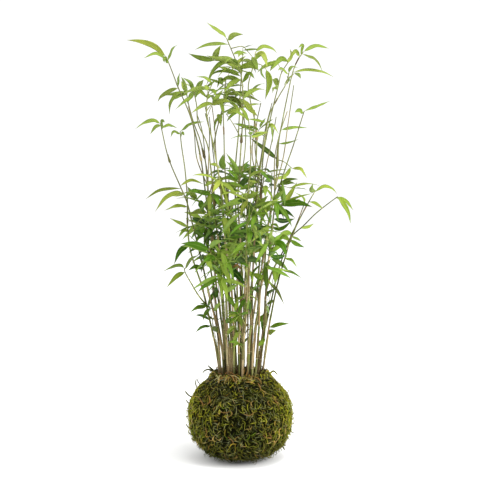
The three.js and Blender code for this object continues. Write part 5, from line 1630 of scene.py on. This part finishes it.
def shaded_foot_tufts(look, rng, count=420, spread=39):
    """Shoots of moss that stand between the feet of the canes, kept dark as painted shade there."""
    q = np.linspace(0, 1, 7)[None]
    angle, far = rng.uniform(0, 2 * np.pi, count), spread * rng.random(count) ** 0.5
    high = (rng.uniform(2, 13, count) * (1 - 0.5 * (far / spread) ** 2))[:, None]
    lean = rng.normal(0, 0.4, (count, 2, 1)) * high[:, None] * q[:, None] ** 1.4
    x, y = (v[:, None] + lean[:, i] for i, v in enumerate(around_axis(far, angle)))
    level = top_level(np.minimum(np.hypot(x, y), 42))
    line = np.stack([x, y, level + high * q - 0.8], -1)
    rings = swept(line, rng.uniform(0.45, 0.9, count)[:, None] * (1 - 0.7 * q), 3)
    lift = np.broadcast_to(-1.2 + 3 * q, line.shape[:2])
    kind = some_brown(count, 0.4, BROWN, 0.32, 0.15, 0.7, rng)
    tone = np.stack([kind, rng.uniform(-0.3, 0.6, count), rng.random(count)], -1)
    shoots = (rings, read_at(rings, 0.5, 0.3, lift[..., None]), tone)
    make_piece("shaded_foot_tufts", look, [shoots, leaflets(line, lift, tone, rng)], COVER)


def soil_litter(look, rng, count=80):
    """Dry curls and scraps between the canes, some leaning up against them."""
    q = np.linspace(0, 1, 8)[None]
    angle, far = rng.uniform(0, 2 * np.pi, count), 35 * np.sqrt(rng.random(count))
    run = rng.uniform(0, 2 * np.pi, count)[:, None] + rng.normal(0, 0.9, (count, 1)) * q
    size = rng.uniform(5, 17, count)[:, None]
    x, y = (v[:, None] + aside for v, aside in zip(
        around_axis(far, angle), around_axis(size * (q - 0.5), run)))
    keep = np.minimum(1, LITTER_REACH / np.hypot(x, y))
    x, y = x * keep, y * keep
    lean = np.where(rng.random(count) < 0.3, rng.uniform(2, 9, count), 0)[:, None]
    arch = rng.uniform(0.2, 2.4, count)[:, None]
    z = SOIL_TOP - SOIL_DOME * (x * x + y * y) + 0.5 + arch * np.sin(np.pi * q) + lean * q ** 1.5
    radius = rng.uniform(0.45, 1.15, count)[:, None] * bump_of(q, 0.15, 0.75, 0.3)
    rings = swept(np.stack([x, y, z], -1), radius, 5, flat=0.4)
    # mostly dark: partly painted shade among the canes
    light = 0.7 * rng.random(count) ** 2
    tone = np.stack([light, np.zeros(count), rng.random(count)], -1)
    way = read_at(rings, np.arange(5) / 5, q[..., None], 1)
    make_piece("soil_litter", look, [(rings, way, tone)])


# ---- the stage, in metres ----
CAMERA_LENS = 104.25
SENSOR_WIDTH = 36
CAMERA_AIM = (0, 0, 0.322)
LIGHT_AIM = (0, 0, 0.3)
FLOOR_HALF = 4.0
WORLD_LIGHT = 1.1
FLOOR_COLOUR = (0.92, 0.92, 0.915)
LIGHTS = (                      # where, width and height, watts
  ("left_softbox", (-1.6, 0.1, 0.9), (0.9, 1.4), 9),
  ("right_softbox", (1.5, -0.6, 1.0), (0.8, 1.2), 32),
  ("top_softbox", (0.3, -0.2, 2.0), (0.9, 0.9), 28),
)


def plain_look(name, colour, roughness):
    look = Look(name)
    grain = look.noise(look.place, 0.4)
    shaded = tuple(v * 0.99 for v in colour)
    return look.finish(look.ramp(grain, (0.3, colour), (0.7, shaded)), roughness)


def make_floor():
    mesh = bpy.data.meshes.new("floor")
    corners = [(x * FLOOR_HALF, y * FLOOR_HALF, 0) for x, y in ((-1, -1), (1, -1), (1, 1), (-1, 1))]
    mesh.from_pydata(corners, [], [(0, 1, 2, 3)])
    mesh.materials.append(plain_look("pale_floor", FLOOR_COLOUR, 0.9))
    floor = add_object("floor", mesh)


def aimed(name, data, place, aim):
    made = add_object(name, data)
    made.location = place
    made.rotation_euler = (Vector(aim) - Vector(place)).to_track_quat("-Z", "Y").to_euler()
    return made


def make_light(name, place, size, power):
    lamp = bpy.data.lights.new(name, "AREA")
    lamp.shape = "RECTANGLE"
    lamp.size, lamp.size_y = size
    lamp.energy = power
    aimed(name, lamp, place, LIGHT_AIM)


def make_camera():
    lens = bpy.data.cameras.new("camera")
    lens.lens = CAMERA_LENS
    lens.sensor_width = SENSOR_WIDTH
    place = (0, -EYE_DISTANCE / MM_PER_M, EYE_HEIGHT / MM_PER_M)
    bpy.context.scene.camera = aimed("camera", lens, place, CAMERA_AIM)


def make_world():
    world = bpy.data.worlds.new("studio")
    bpy.context.scene.world = world
    world.use_nodes = True
    back = world.node_tree.nodes["Background"]
    back.inputs["Color"].default_value = (1, 1, 1, 1)
    back.inputs["Strength"].default_value = WORLD_LIGHT


rng = np.random.default_rng(SEED)
fill_sprays(rng)
looks = dict(
    leaf=leaf_look(), dry=dry_leaf_look(), cane=cane_look(), sheath=sheath_look(), moss=moss_look(),
    bed=bed_look("shaded_moss_bed", *SHADED_BED_COLOURS, BED_GRAIN),
    soil=bed_look("soil", *SOIL_AND_SHADE_COLOURS, SOIL_GRAIN))
for number, plant in enumerate(plants, 1):
    dress_stem(number, plant, looks, rng)
thin_stalks(looks["cane"], rng)
shaded_moss_bed(looks["bed"])
for moss_part in (moss_strands, moss_hairs, mouth_strands, shaded_foot_tufts):
    moss_part(looks["moss"], rng)
placed_strands("moss_wisps", WISPS, looks["moss"], (0.3, 0.5), 5, rng, nodes=COVER)
placed_strands("rim_strips", STRIPS, looks["dry"], (0.25, 0.55), 3.0, rng, arched=True)
soil_litter(looks["dry"], rng)
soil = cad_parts["root_ball"]
soil.data.materials.clear()
soil.data.materials.append(looks["soil"])

make_floor()
for light in LIGHTS:
    make_light(*light)
make_camera()
make_world()
bpy.context.scene.view_settings.view_transform = "Standard"
